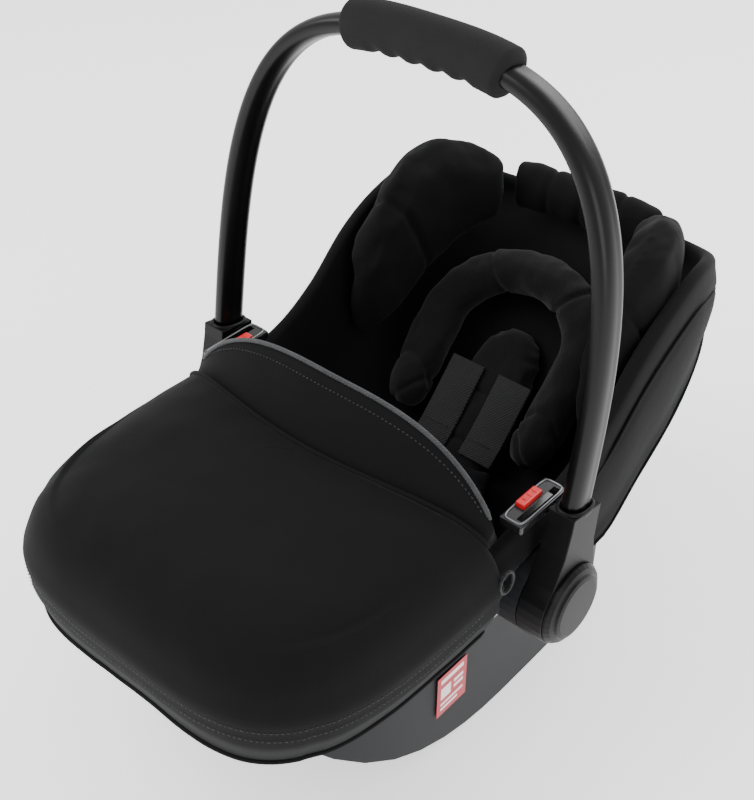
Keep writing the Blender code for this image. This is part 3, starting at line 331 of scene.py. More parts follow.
# ---- Shapes ------------------------------------------------------------------------------------------
def on_line(line, y):
    """Height of a smooth line through (y, z) points, level past its ends."""
    if y <= line[0][0]:
        return line[0][1]
    if y >= line[-1][0]:
        return line[-1][1]
    i = max(k for k in range(len(line) - 1) if line[k][0] <= y)
    (y0, z0), (y1, z1) = line[i], line[i + 1]
    before = line[i - 1] if i else line[0]
    after = line[i + 2] if i + 2 < len(line) else line[-1]
    slope0 = (z1 - before[1]) / (y1 - before[0])
    slope1 = (after[1] - z0) / (after[0] - y0)
    t, width = (y - y0) / (y1 - y0), y1 - y0
    return ((2 * t**3 - 3 * t**2 + 1) * z0 + (t**3 - 2 * t**2 + t) * width * slope0
            + (3 * t**2 - 2 * t**3) * z1 + (t**3 - t**2) * width * slope1)


def signed_power(value, power):
    return math.copysign(abs(value) ** power, value)


def spread(direction, power):
    rise = signed_power(math.sin(direction), power / 2)
    return math.atan2(rise, signed_power(math.cos(direction), power / 2))


def rim_turn(direction):
    return spread(direction, HEAD_POWER if math.sin(direction) > 0 else FOOT_POWER)


def plan_point(turn, grow=0.0):
    """A point of the rim's plan: turn 0 is +X and a quarter turn the head end."""
    power, reach = (HEAD_POWER, TO_HEAD) if math.sin(turn) > 0 else (FOOT_POWER, TO_FOOT)
    return (signed_power(math.cos(turn), 2 / power) * (RIM + grow),
            MIDDLE + signed_power(math.sin(turn), 2 / power) * (reach + grow))


def bucket_point(turn, tilt, inset=0.0):
    """A point of the bucket: tilt 0 is the floor's middle, a quarter turn the rim; inset moves it inwards."""
    def place(turn_at, tilt_at):
        out = math.sin(tilt_at) ** (2 / WALL_POWER)
        rise = 1 - max(math.cos(tilt_at), 0.0) ** (2 / WALL_POWER)
        x, y = plan_point(turn_at)
        low = on_line(FLOOR_LINE, MIDDLE + out * (y - MIDDLE)) * (1 - rise)
        return Vector((out * x, MIDDLE + out * (y - MIDDLE), low + on_line(RIM_LINE, y) * rise))
    here = place(turn, tilt)
    small = 0.02
    tilt = min(max(tilt, 2 * small), math.pi / 2 - 2 * small)
    normal = (place(turn, tilt + small) - place(turn, tilt - small)).cross(
        place(turn + small, tilt) - place(turn - small, tilt)).normalized()
    return here + inset * normal


def soft_noise(point, size, seed=0.0):
    """Smooth noise of -1 to 1 with hollows about size metres apart."""
    return noise.noise(Vector(point) / size + Vector((seed, 2 * seed, -seed)))


def mesh_object(name, points, faces, look, moved=True):
    """A smooth-shaded mesh object; points are laid out from the handle axis unless moved is off."""
    data = bpy.data.meshes.new(name)
    shift = Vector((0, AXIS.y if moved else 0.0, 0))
    data.from_pydata([Vector(p) + shift for p in points], [], faces)
    shape = bmesh.new()
    shape.from_mesh(data)
    bmesh.ops.remove_doubles(shape, verts=shape.verts, dist=1e-6)
    bmesh.ops.recalc_face_normals(shape, faces=shape.faces)
    shape.to_mesh(data)
    shape.free()
    data.polygons.foreach_set("use_smooth", [True] * len(data.polygons))
    data.materials.append(FINISH[look])
    made = bpy.data.objects.new(name, data)
    bpy.context.scene.collection.objects.link(made)
    return made


def ring_faces(rows, columns, closed=True, start=0):
    """Quads between rows of points, each row a ring when closed."""
    wide = columns if closed else columns - 1
    return [(start + r * columns + c, start + r * columns + (c + 1) % columns,
             start + (r + 1) * columns + (c + 1) % columns, start + (r + 1) * columns + c)
            for r in range(rows - 1) for c in range(wide)]


def loft(name, rings, look, closed=True, caps=True, moved=True):
    points = [p for ring in rings for p in ring]
    count = len(rings[0])
    faces = ring_faces(len(rings), count, closed)
    if caps:
        faces += [tuple(reversed(range(count))), tuple(range(len(points) - count, len(points)))]
    return mesh_object(name, points, faces, look, moved)


def with_modifier(thing, kind, **settings):
    """Adds a modifier and applies it, so that the mesh is final."""
    modifier = thing.modifiers.new(kind, kind)
    for key, value in settings.items():
        setattr(modifier, key, value)
    graph = bpy.context.evaluated_depsgraph_get()
    data = bpy.data.meshes.new_from_object(thing.evaluated_get(graph), depsgraph=graph)
    thing.modifiers.clear()
    old, thing.data = thing.data, data
    bpy.data.meshes.remove(old)
    data.polygons.foreach_set("use_smooth", [True] * len(data.polygons))
    return thing


def sweep(name, path, radius, look, sides=8, closed=False, flat=1.0, moved=True):
    """A round or flattened cord along a path, with rounded ends when open."""
    rings, count = [], len(path)
    path = [Vector(p) for p in path]
    up = None
    for i, here in enumerate(path):
        ahead = path[(i + 1) % count] if closed else path[min(i + 1, count - 1)]
        behind = path[i - 1] if closed or i else path[0]
        way = (ahead - behind).normalized()
        if up is None:
            up = way.cross(Vector((0.31, 0.17, 1.0))).normalized()
        up = (up - up.dot(way) * way).normalized()
        side = way.cross(up)
        full = radius * (0.55 if not closed and i in (0, count - 1) else 1.0)
        rings.append([here + full * (math.cos(2 * math.pi * k / sides) * up * flat
                                     + math.sin(2 * math.pi * k / sides) * side) for k in range(sides)])
    if closed:
        rings.append(rings[0])
    return loft(name, rings, look, caps=not closed, moved=moved)


def stitch_row(name, path, look, length, gap=0.45, radius=0.00045, lift=0.0006):
    """Separate stitches along a path of (point, normal) pairs, as one mesh."""
    points, faces = [], []
    places = [(Vector(p), Vector(n).normalized()) for p, n in path]
    travelled, wanted = 0.0, 0.0
    for (a, up), (b, _) in zip(places, places[1:]):
        span = (b - a).length
        while span > 1e-9 and wanted < travelled + span:
            here = a + (b - a) * ((wanted - travelled) / span)
            way = (b - a).normalized()
            side = way.cross(up).normalized()
            long = length * (1 - gap) / 2
            start = len(points)
            for away, full in ((-1.0, 0.35), (-0.6, 1.0), (0.6, 1.0), (1.0, 0.35)):
                for k in range(6):
                    turn = 2 * math.pi * k / 6
                    points.append(here + away * long * way + lift * up * full
                                  + full * radius * (math.cos(turn) * side * 1.4 + math.sin(turn) * up))
            faces += ring_faces(4, 6, True, start)
            faces += [tuple(start + k for k in range(5, -1, -1)), tuple(start + 18 + k for k in range(6))]
            wanted += length
        travelled += span
    return mesh_object(name, points, faces, look)


def place(thing, body="carrier", slot="black_fabric", stands_for=()):
    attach(thing, body)
    if stands_for:
        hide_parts(*stands_for)
    return thing


# ---- Cover and muff ----------------------------------------------------------------------------------
def rim_section(direction, wrinkle):
    """One section of the cover, from the floor's middle up the liner, over the rim and down the skirt."""
    turn = rim_turn(direction)
    section = []
    for k in range(26):
        share = math.sin(math.pi / 2 * (k + 0.5) / 25.5)
        tilt = math.asin(min(share, 1.0) ** (WALL_POWER / 2))
        here = bucket_point(turn, tilt, LINER)
        fold = soft_noise(here, 0.055, 3.0) + 0.5 * soft_noise(here, 0.022, 7.0)
        inwards = Vector((-here.x, MIDDLE - here.y, 0.10)).normalized()
        section.append(here + wrinkle * fold * min(k / 6, 1.0) * inwards)
    x, y = plan_point(turn)
    rim = on_line(RIM_LINE, y)
    outer = Vector((*plan_point(turn, 0.0036), 0))
    inner = section[-1].copy()
    # Crown of the padded rim, a little fuller at the head end
    full = 0.0075 + 0.0040 * max(math.sin(direction), 0.0) ** 2
    for k in range(1, 10):
        turn_over = math.pi * k / 10
        share = (1 - math.cos(turn_over)) / 2
        point = inner.lerp(Vector((outer.x, outer.y, 0)), share)
        section.append(Vector((point.x, point.y, rim + full * math.sin(turn_over) ** 0.8)))
    hem = on_line(SKIRT_LINE, y)
    drop = max(rim - hem, 0.012)
    for k in range(14):
        down = (k + 0.4) / 13.4
        belly = 0.0046 * math.sin(math.pi * min(down * 1.15, 1.0))
        seam = abs(down * drop - 0.026)
        groove = 0.0016 * max(0.0, 1 - (seam / 0.004) ** 2) if drop > 0.045 else 0.0
        where = Vector((*plan_point(turn, 0.0036 + belly - groove), rim - down * drop))
        out = Vector((x, y - MIDDLE, 0)).normalized()
        section.append(where + 0.7 * wrinkle * soft_noise(where, 0.045, 11.0) * down * out)
    return section


def lifted(thing, thickness):
    """Gives an open sheet its cloth thickness on the inner side."""
    return with_modifier(thing, "SOLIDIFY", thickness=thickness, offset=-1.0)


def drill(thing, radius, low, high):
    """Cuts a round hole along X round the handle axis, from x = low to high."""
    data = bpy.data.meshes.new("drill")
    shape = bmesh.new()
    bmesh.ops.create_cone(shape, cap_ends=True, segments=48, radius1=radius, radius2=radius, depth=high - low,
                          matrix=Matrix.Translation(((low + high) / 2, AXIS.y, AXIS.z))
                          @ Matrix.Rotation(math.pi / 2, 4, "Y"))
    shape.to_mesh(data)
    shape.free()
    cutter = bpy.data.objects.new("drill", data)
    bpy.context.scene.collection.objects.link(cutter)
    with_modifier(thing, "BOOLEAN", object=cutter, operation="DIFFERENCE")
    bpy.data.objects.remove(cutter)
    bpy.data.meshes.remove(data)
    return thing


def make_cover(sizes):
    around = 176
    sections = [rim_section(2 * math.pi * (i + 0.5) / around, sizes.wrinkle) for i in range(around)]
    rings = [list(ring) for ring in zip(*sections)]
    points = [p for ring in rings for p in ring]
    faces = ring_faces(len(rings), around) + [tuple(reversed(range(around)))]
    made = mesh_object("cover_cloth", points, faces, "cloth")
    with_modifier(made, "SOLIDIFY", thickness=0.0032, offset=-1.0)
    for low, high in ((0.150, 0.230), (-0.230, -0.150)):
        drill(made, 0.0445, low, high)
    place(made, stands_for=["seat_cover"])
    # Piped seam along the skirt, and the bound hem
    for name, level, radius in (("skirt_piping", 0.026, sizes.piping * 0.7), ("skirt_hem", None, 0.0016)):
        runs, run = [], []
        for i in range(around + 1):
            direction = 2 * math.pi * (i + 0.5) / around
            turn = rim_turn(direction)
            y = plan_point(turn)[1]
            rim, hem = on_line(RIM_LINE, y), on_line(SKIRT_LINE, y)
            height = rim - level if level else hem
            x, y = plan_point(turn, 0.0064 if level else 0.0040)
            near_hub = math.hypot(y, height - AXIS.z) < 0.050
            if rim - hem > 0.045 and not near_hub:
                run.append(Vector((x, y, height)))
            elif run:
                runs.append(run)
                run = []
        if run:
            runs.append(run)
        for number, path in enumerate(r for r in runs if len(r) > 3):
            place(sweep(f"{name}_{number}", path, radius, "cloth"))


def muff_back(x):
    return MUFF_BACK + MUFF_SWEEP * (x / MUFF_WIDE) ** 2


def muff_point(turn, tilt, grow=0.0):
    """A point of the muff: turn 0 is the toe end, tilt 0 its back edge's middle, a quarter turn the hem."""
    out = math.sin(tilt) ** (2 / MUFF_POWER)
    rise = 1 - max(math.cos(tilt), 0.0) ** (2 / MUFF_POWER)
    x = out * (MUFF_WIDE + grow) * signed_power(math.sin(turn), 2 / MUFF_PLAN)
    forward = out * max(math.cos(turn), 0.0) ** (2 / MUFF_PLAN)
    y = muff_back(x) + (MUFF_FRONT - grow - muff_back(x)) * forward
    hem = MUFF_HEM_SIDE + (MUFF_HEM_FRONT - MUFF_HEM_SIDE) * max(math.cos(turn), 0.0) ** 2
    return Vector((x, y, MUFF_CROWN - (MUFF_CROWN - hem) * rise))


def seam_height(turn):
    """The muff's front seam, a little lower at the sides."""
    return 0.196 + 0.006 * max(math.cos(turn), 0.0)


def sewn_muff_point(turn, tilt):
    """The muff's outer face: drawn in along its seam and tucked under at the hem."""
    here = muff_point(turn, tilt)
    level = seam_height(turn)
    middle = Vector((0.0, -0.19, 0.19))
    inwards = Vector((middle.x - here.x, (middle.y - here.y) * 0.8, 0)).normalized()
    below = max(level - here.z, 0.0) / (level - MUFF_HEM_SIDE)
    groove = 0.0022 * math.exp(-((here.z - level) / 0.0030) ** 2)
    bulge = -0.0022 * math.exp(-((here.z - level - 0.014) / 0.010) ** 2)
    tuck = 0.013 * below**1.7
    fold = 0.0022 * soft_noise(here, 0.075, 5.0) + 0.0009 * soft_noise(here, 0.028, 9.0)
    side_seam = 0.0014 * math.exp(-((abs(math.degrees(turn)) - 52) / 1.6) ** 2) * (here.z < level + 0.09)
    sag = Vector((0, 0, -0.004 * math.exp(-((here.y + 0.20) / 0.05) ** 2) * (here.z > 0.26)))
    return here + (groove + bulge + tuck + side_seam) * inwards + fold * Vector((0, 0, 1)) + sag


def make_muff(sizes):
    columns, rows = 121, 54
    around = [spread(math.pi * (i / (columns - 1) - 0.5), MUFF_PLAN) for i in range(columns)]
    rings = []
    for k in range(rows):
        share = math.sin(math.pi / 2 * (k + 0.5) / (rows - 0.5))
        tilt = math.asin(min(share, 1.0) ** (MUFF_POWER / 2))
        rings.append([sewn_muff_point(turn, tilt) for turn in around])
    points = [p for ring in rings for p in ring]
    faces = ring_faces(rows, columns, closed=False) + [tuple(range(columns))]
    made = lifted(mesh_object("foot_muff_cloth", points, faces, "cloth"), 0.0046)
    place(made, stands_for=["foot_muff"])
    hem = [p + Vector((0, 0, -0.0005)) for p in rings[-1]]
    place(sweep("muff_hem_binding", hem, 0.0024, "cloth"))
    # Twin needle stitching beside the front seam
    for number, above in enumerate((0.0052, -0.0052)):
        path = []
        for turn in around[4:-4]:
            level = seam_height(turn) + above
            low, high = 0.6, math.pi / 2
            for _ in range(HALVINGS):
                half = (low + high) / 2
                low, high = (half, high) if sewn_muff_point(turn, half).z > level else (low, half)
            here = sewn_muff_point(turn, low)
            path.append((here, Vector((here.x, here.y + 0.19, 0.0))))
        place(stitch_row(f"muff_seam_stitches_{number}", path, "thread", sizes.stitch, radius=0.00035,
                         lift=0.0003))
    # Bound back edge, over the crown to just above the hem on each side
    edge = []
    for side in (-1, 1):
        half = [muff_point(side * math.pi / 2, math.asin((k / 40) ** (MUFF_POWER / 2))) for k in range(1, 38)]
        edge = edge + half if side > 0 else half[::-1]
    place(sweep("muff_edge_binding", [p + Vector((0, 0.002, 0.0004)) for p in edge], sizes.piping, "cloth"))


def muff_top(x):
    out = min(abs(x) / MUFF_WIDE, 1.0)
    tilt = math.asin(out ** (MUFF_POWER / 2))
    return MUFF_CROWN - (MUFF_CROWN - MUFF_HEM_SIDE) * (1 - math.cos(tilt) ** (2 / MUFF_POWER))


def flap_point(across, up, through):
    """A point of the turned-up flap: across from -1 to 1, up from 0 to 1, through its padding from 0 to 1."""
    x = across * 0.9 * MUFF_WIDE
    height = 0.012 + (FLAP_HEIGHT - 0.012) * (1 - abs(across) ** 2.6)
    lean = FLAP_LEAN * height / FLAP_HEIGHT
    base = Vector((x, muff_back(x) + 0.005, muff_top(x) - 0.006))
    here = base + Vector((0, lean * up**1.15, height * up))
    swell = FLAP_THICK * (0.62 + 0.5 * math.sin(math.pi * up) - 0.42 * up**3)
    fold = 0.0020 * soft_noise(here, 0.05, 2.0) * math.sin(math.pi * up)
    out = Vector((0, height, -lean)).normalized()
    return here + out * (swell * through + fold)


def make_flap(sizes):
    columns, rows = 97, 13
    outline = []
    for r in range(rows):
        up = r / (rows - 1)
        front = [flap_point(2 * c / (columns - 1) - 1, up, 0.0) for c in range(columns)]
        back = [flap_point(2 * c / (columns - 1) - 1, up, 1.0) for c in range(columns)]
        outline.append(front + back[::-1])
    made = loft("muff_flap_cloth", outline, "cloth")
    place(made, stands_for=["muff_flap"])
    top = [flap_point(2 * c / (columns - 1) - 1, 1.0, 0.5) + Vector((0, 0, 0.0012))
           for c in range(1, columns - 1)]
    place(sweep("flap_piping", top, sizes.piping, "tape"))
    path = [(flap_point(2 * c / 96 - 1, 0.84, 0.0), Vector((0, -1, 0.7))) for c in range(3, 94)]
    place(stitch_row("flap_stitches", path, "thread", sizes.stitch, radius=0.0004))
    # Elastic loop that holds the muff's side to the shell
    for side, word in SIDES.items():
        start = muff_point(side * math.pi / 2, 1.45)
        x = side * (abs(start.x) + 0.001)
        loop = [Vector((x + side * 0.0006 * math.sin(t), start.y + 0.004 + 0.008 * math.sin(t),
                        start.z + 0.012 + 0.011 * math.cos(t)))
                for t in (k * math.pi / 12 for k in range(0, 25))]
        place(sweep(f"muff_loop_{word}", loop[:-1], 0.0014, "webbing", closed=True, flat=1.0))


# ---- Cushions and harness ----------------------------------------------------------------------------
def copy_of(node, name, look, shrink=0.0):
    """A welded copy of a frame piece's shape, drawn in a little all over."""
    data = frame["nodes"][node].data.copy()
    shape = bmesh.new()
    shape.from_mesh(data)
    bmesh.ops.remove_doubles(shape, verts=shape.verts, dist=1e-5)
    shape.normal_update()
    for vert, normal in [(v, v.normal.copy()) for v in shape.verts]:
        vert.co -= shrink * normal
    shape.to_mesh(data)
    shape.free()
    data.name = name
    data.materials.clear()
    data.materials.append(FINISH[look])
    made = bpy.data.objects.new(name, data)
    bpy.context.scene.collection.objects.link(made)
    return made


def stuffed(name, node, look, sizes, voxel=0.0050, shrink=0.0026, swell=1.0, gathers=0.0, seams=()):
    """A cushion: the frame piece's shape swollen by its stuffing, then drawn in along its seams."""
    made = copy_of(node, name, look, shrink)
    with_modifier(made, "REMESH", mode="VOXEL", voxel_size=voxel)
    rest = [v.co.copy() for v in made.data.vertices]
    cloth = made.modifiers.new("stuffing", "CLOTH")
    cloth.settings.quality = 4
    cloth.settings.use_pressure = True
    cloth.settings.uniform_pressure_force = 4.0
    cloth.settings.effector_weights.gravity = 0.0
    cloth.settings.tension_stiffness = 8.0
    cloth.settings.compression_stiffness = 8.0
    cloth.settings.bending_stiffness = 0.15
    cloth.settings.shrink_min = -0.05
    cloth.collision_settings.use_collision = False
    for number in range(1, 21):
        bpy.context.scene.frame_set(number)
    graph = bpy.context.evaluated_depsgraph_get()
    grown = bpy.data.meshes.new_from_object(made.evaluated_get(graph), depsgraph=graph)
    made.modifiers.clear()
    bpy.context.scene.frame_set(1)
    limit = sizes.loft * swell
    for vert, old, new in zip(made.data.vertices, rest, grown.vertices):
        move = new.co - old
        vert.co = old + move * min(1.0, limit / max(move.length, 1e-9))
    bpy.data.meshes.remove(grown)
    with_modifier(made, "SMOOTH", factor=0.5, iterations=3)
    with_modifier(made, "SUBSURF", levels=1, render_levels=1)
    data = made.data
    normals = [v.normal.copy() for v in data.vertices]
    for vert, normal in zip(data.vertices, normals):
        here = vert.co
        depth = gathers * soft_noise((here.x, here.y * 0.6, here.z * 0.6), 0.014, 4.0)
        for point, across, wide, deep in seams:
            away = (here - Vector(point)).dot(Vector(across).normalized())
            depth -= deep * math.exp(-(away / wide) ** 2)
        vert.co = here + depth * normal
    data.update()
    place(made, stands_for=[node])
    return made


def box_middle(node):
    low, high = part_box(node)
    return (low + high) / 2


def make_cushions(sizes):
    seat = box_middle("seat_insert")
    stuffed("seat_cushion", "seat_insert", "jersey", sizes, 0.0048, 0.0022, 0.8, 0.0012,
            seams=((seat, (0, 1, 0), 0.0032, 0.0030),
                   (seat + Vector((0.043, 0, 0)), (1, 0, 0.3), 0.0032, 0.0030),
                   (seat - Vector((0.043, 0, 0)), (1, 0, -0.3), 0.0032, 0.0030)))
    back = box_middle("back_insert")
    stuffed("back_cushion", "back_insert", "jersey", sizes, 0.0048, 0.0022, 0.8, 0.0012,
            seams=((back + Vector((0, -0.030, 0)), (0, 1, 0.6), 0.0030, 0.0026),
                   (back + Vector((0, 0.028, 0)), (0, 1, 0.6), 0.0030, 0.0026)))
    roll = box_middle("head_roll")
    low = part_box("head_roll")[0]
    bend = Vector((0, roll.y + 0.02, roll.z))
    stuffed("head_roll_cushion", "head_roll", "jersey", sizes, 0.0052, 0.0030, 1.0, 0.0020,
            seams=[(bend, (math.cos(a), math.sin(a) * 0.6, math.sin(a)), 0.0026, 0.0030)
                   for a in (math.radians(35), math.radians(-35))]
            + [((0, low.y + 0.030, 0), (0, 1, 0), 0.0026, 0.0030)])
    for side, word in SIDES.items():
        wing = box_middle("wing_cushion_" + word)
        stuffed("wing_cushion_cloth_" + word, "wing_cushion_" + word, "cloth", sizes, 0.0055, -0.0045, 0.5,
                0.0016, seams=((wing + Vector((0, -0.022, 0)), (0.25 * side, 1, 0.45), 0.0034, 0.0034),))
    stuffed("head_end_cushion", "head_cushion", "cloth", sizes, 0.0050, -0.0030, 0.4, 0.0014,
            seams=[((x, 0, 0), (1, 0, 0), 0.0030, 0.0026) for x in (-0.04, 0.0, 0.04)])
    for side, word in SIDES.items():
        pad = box_middle("shoulder_pad_" + word)
        stuffed("shoulder_pad_cloth_" + word, "shoulder_pad_" + word, "cloth", sizes, 0.0035, 0.0012, 0.35,
                0.0006, seams=((pad, (0.7 * side, -0.7, 0), 0.0024, 0.0018),))
    stuffed("crotch_pad_cloth", "crotch_pad", "cloth", sizes, 0.0032, 0.0008, 0.3, 0.0005)


def webbing_from(node, name):
    """A strap: the frame piece's band with rounded selvedges."""
    made = copy_of(node, name, "webbing")
    with_modifier(made, "BEVEL", width=0.0006, segments=2, limit_method="ANGLE")
    place(made, slot="harness_webbing", stands_for=[node])
    return made


def make_harness(sizes):
    for node in ("crotch_strap", "adjuster_strap", "shoulder_strap_right", "shoulder_strap_left",
                 "lap_strap_right", "lap_strap_left"):
        webbing_from(node, node.replace("_strap", "_webbing"))
        low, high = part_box(node)
        middle = (low + high) / 2
        # A row of stitches across the strap, near its end
        y = low.y + 0.2 * (high.y - low.y) - AXIS.y
        half = min(high.x - low.x, 0.030) / 2
        top = max((v.co.z for v in frame["nodes"][node].data.vertices
                   if abs(v.co.y - AXIS.y - y) < 0.016), default=high.z)
        path = [(Vector((middle.x - half + 2 * half * k / 12, y, top)), Vector((0, 0, 1))) for k in range(13)]
        thread = stitch_row(node + "_stitches", path, "thread", sizes.stitch * 0.8, radius=0.0004)
        place(thread, slot="harness_webbing")


# ---- Handle and fittings -----------------------------------------------------------------------------
def handle_line(count=120):
    """Centre line of the arch from collar to collar, with its sideways and fore-aft directions."""
    half, top, bend, power, lowest = 0.199, 0.412, 0.092, 3.17, 0.0922
    tilt = Matrix.Rotation(-HANDLE_TILT, 3, "X")
    points = [Vector((half, 0, lowest + 0.004 * k)) for k in range(4)]
    for i in range(count + 1):
        turn = math.pi * i / count
        x = half * signed_power(math.cos(turn), 2 / power)
        z = bend + (top - bend) * math.sin(turn) ** (2 / power)
        if z > lowest + 0.018:
            points.append(Vector((x, 0, z)))
    points += [Vector((-half, 0, lowest + 0.004 * k)) for k in (3, 2, 1, 0)]
    # Even the spacing out
    path = [tilt @ p + Vector((0, 0, AXIS.z)) for p in points]
    lengths = [0.0]
    for a, b in zip(path, path[1:]):
        lengths.append(lengths[-1] + (b - a).length)
    even, j = [], 0
    for k in range(161):
        wanted = lengths[-1] * k / 160
        while j < len(lengths) - 2 and lengths[j + 1] < wanted:
            j += 1
        t = (wanted - lengths[j]) / max(lengths[j + 1] - lengths[j], 1e-9)
        even.append(path[j].lerp(path[j + 1], min(t, 1.0)))
    for _ in range(6):
        even = [even[0]] + [(a + 2 * b + c) / 4 for a, b, c in zip(even, even[1:], even[2:])] + [even[-1]]
    fore = tilt @ Vector((0, 1, 0))
    frames = []
    for i, here in enumerate(even):
        way = (even[min(i + 1, 160)] - even[max(i - 1, 0)]).normalized()
        frames.append((here, fore.cross(way).normalized(), fore, way))
    return frames


def make_handle(sizes):
    line = handle_line()
    rings = []
    for here, side, fore, _ in line:
        ring = []
        for k in range(40):
            turn = 2 * math.pi * k / 40
            a = 0.009 * signed_power(math.cos(turn), 2 / 2.5)
            b = 0.015 * signed_power(math.sin(turn), 2 / 2.5)
            # A shallow groove runs along the outer and the inner face
            groove = 0.0010 * math.exp(-((b - 0.002) / 0.0016) ** 2) * abs(math.cos(turn))
            ring.append(here + (a - math.copysign(groove, a)) * side + b * fore)
        rings.append(ring)
    place(loft("handle_arch", rings, "tube"), "handle", "satin_tube", ["handle_tube"])
    grip = [f for f in line if abs(f[0].x) <= 0.079]
    rings, last = [], len(grip) - 1
    # Extra rings so that the hollows are round
    fine = []
    for i in range(last):
        for k in range(4):
            t = k / 4
            fine.append(tuple(a.lerp(b, t) for a, b in zip(grip[i], grip[i + 1])))
    fine.append(grip[last])
    for i, (here, side, fore, way) in enumerate(fine):
        share = i / (len(fine) - 1)
        end = min(share, 1 - share) * 0.158
        full = 0.0200 * (1 - 0.30 * max(0.0, 1 - end / 0.006) ** 2.2)
        waves = 0.5 - 0.5 * math.cos(2 * math.pi * 5 * (share - 0.15) / 0.70) if 0.15 < share < 0.85 else 0.0
        ring = []
        for k in range(36):
            turn = 2 * math.pi * k / 36
            # The arch's side direction points in or out, so the underside is found by height
            away = math.cos(turn) * side + math.sin(turn) * fore
            under = max(-away.z, 0.0) ** 1.5
            out = full * (1.0 + 0.05 * abs(math.sin(turn))) - sizes.scallop * waves * under
            ring.append(here + out * away)
        rings.append(ring)
    turns = [2 * math.pi * k / 36 for k in range(36)]
    core = [[here + 0.0098 * math.cos(turn) * side + 0.0158 * math.sin(turn) * fore for turn in turns]
            for here, side, fore, _ in (fine[-1], fine[0])]
    made = loft("grip_sleeve", [core[1]] + rings + [core[0]], "foam", caps=True)
    place(made, "handle", "grip_foam", ["foam_grip"])
    # Collar lips where the arch enters its sockets
    for word, index in (("right", 0), ("left", 160)):
        here, side, fore, way = line[index]
        rings = []
        for along, grow in ((-0.006, 0.0012), (-0.006, 0.0032), (-0.0012, 0.0040), (0.0010, 0.0036),
                            (0.0018, 0.0024), (0.0018, 0.0006)):
            step = along if index == 0 else -along
            rings.append([here + step * way + (0.009 + grow) * signed_power(math.cos(2 * math.pi * k / 40), 0.8)
                          * side + (0.015 + grow) * signed_power(math.sin(2 * math.pi * k / 40), 0.8) * fore
                          for k in range(40)])
        rings.append(rings[0])
        place(loft("collar_lip_" + word, rings, "socket", caps=False), "handle", "shell_plastic")


def ring_on_x(name, x, radius, thick, look, sides=72):
    """A round bead on the handle's axis, in the plane across X."""
    turns = [2 * math.pi * k / sides for k in range(sides)]
    path = [Vector((x, radius * math.cos(turn), AXIS.z + radius * math.sin(turn))) for turn in turns]
    return sweep(name, path, thick, look, closed=True)


def rounded_frame(name, middle, half_x, half_y, look, z, wide):
    """A slim rounded rectangle of plated trim lying level."""
    path = []
    for k in range(64):
        turn = 2 * math.pi * (k + 0.5) / 64
        path.append(Vector((middle.x + half_x * signed_power(math.cos(turn), 0.35),
                            middle.y - AXIS.y + half_y * signed_power(math.sin(turn), 0.35), z)))
    return sweep(name, path, wide, look, closed=True)


def shade_round(thing):
    """Shades a piece smooth over its curves, and sharp at the edges of its mould."""
    data = thing.data
    data.polygons.foreach_set("use_smooth", [True] * len(data.polygons))
    if data.has_custom_normals:
        with bpy.context.temp_override(object=thing, active_object=thing):
            bpy.ops.mesh.customdata_custom_splitnormals_clear()
    data.set_sharp_from_angle(angle=math.radians(32))


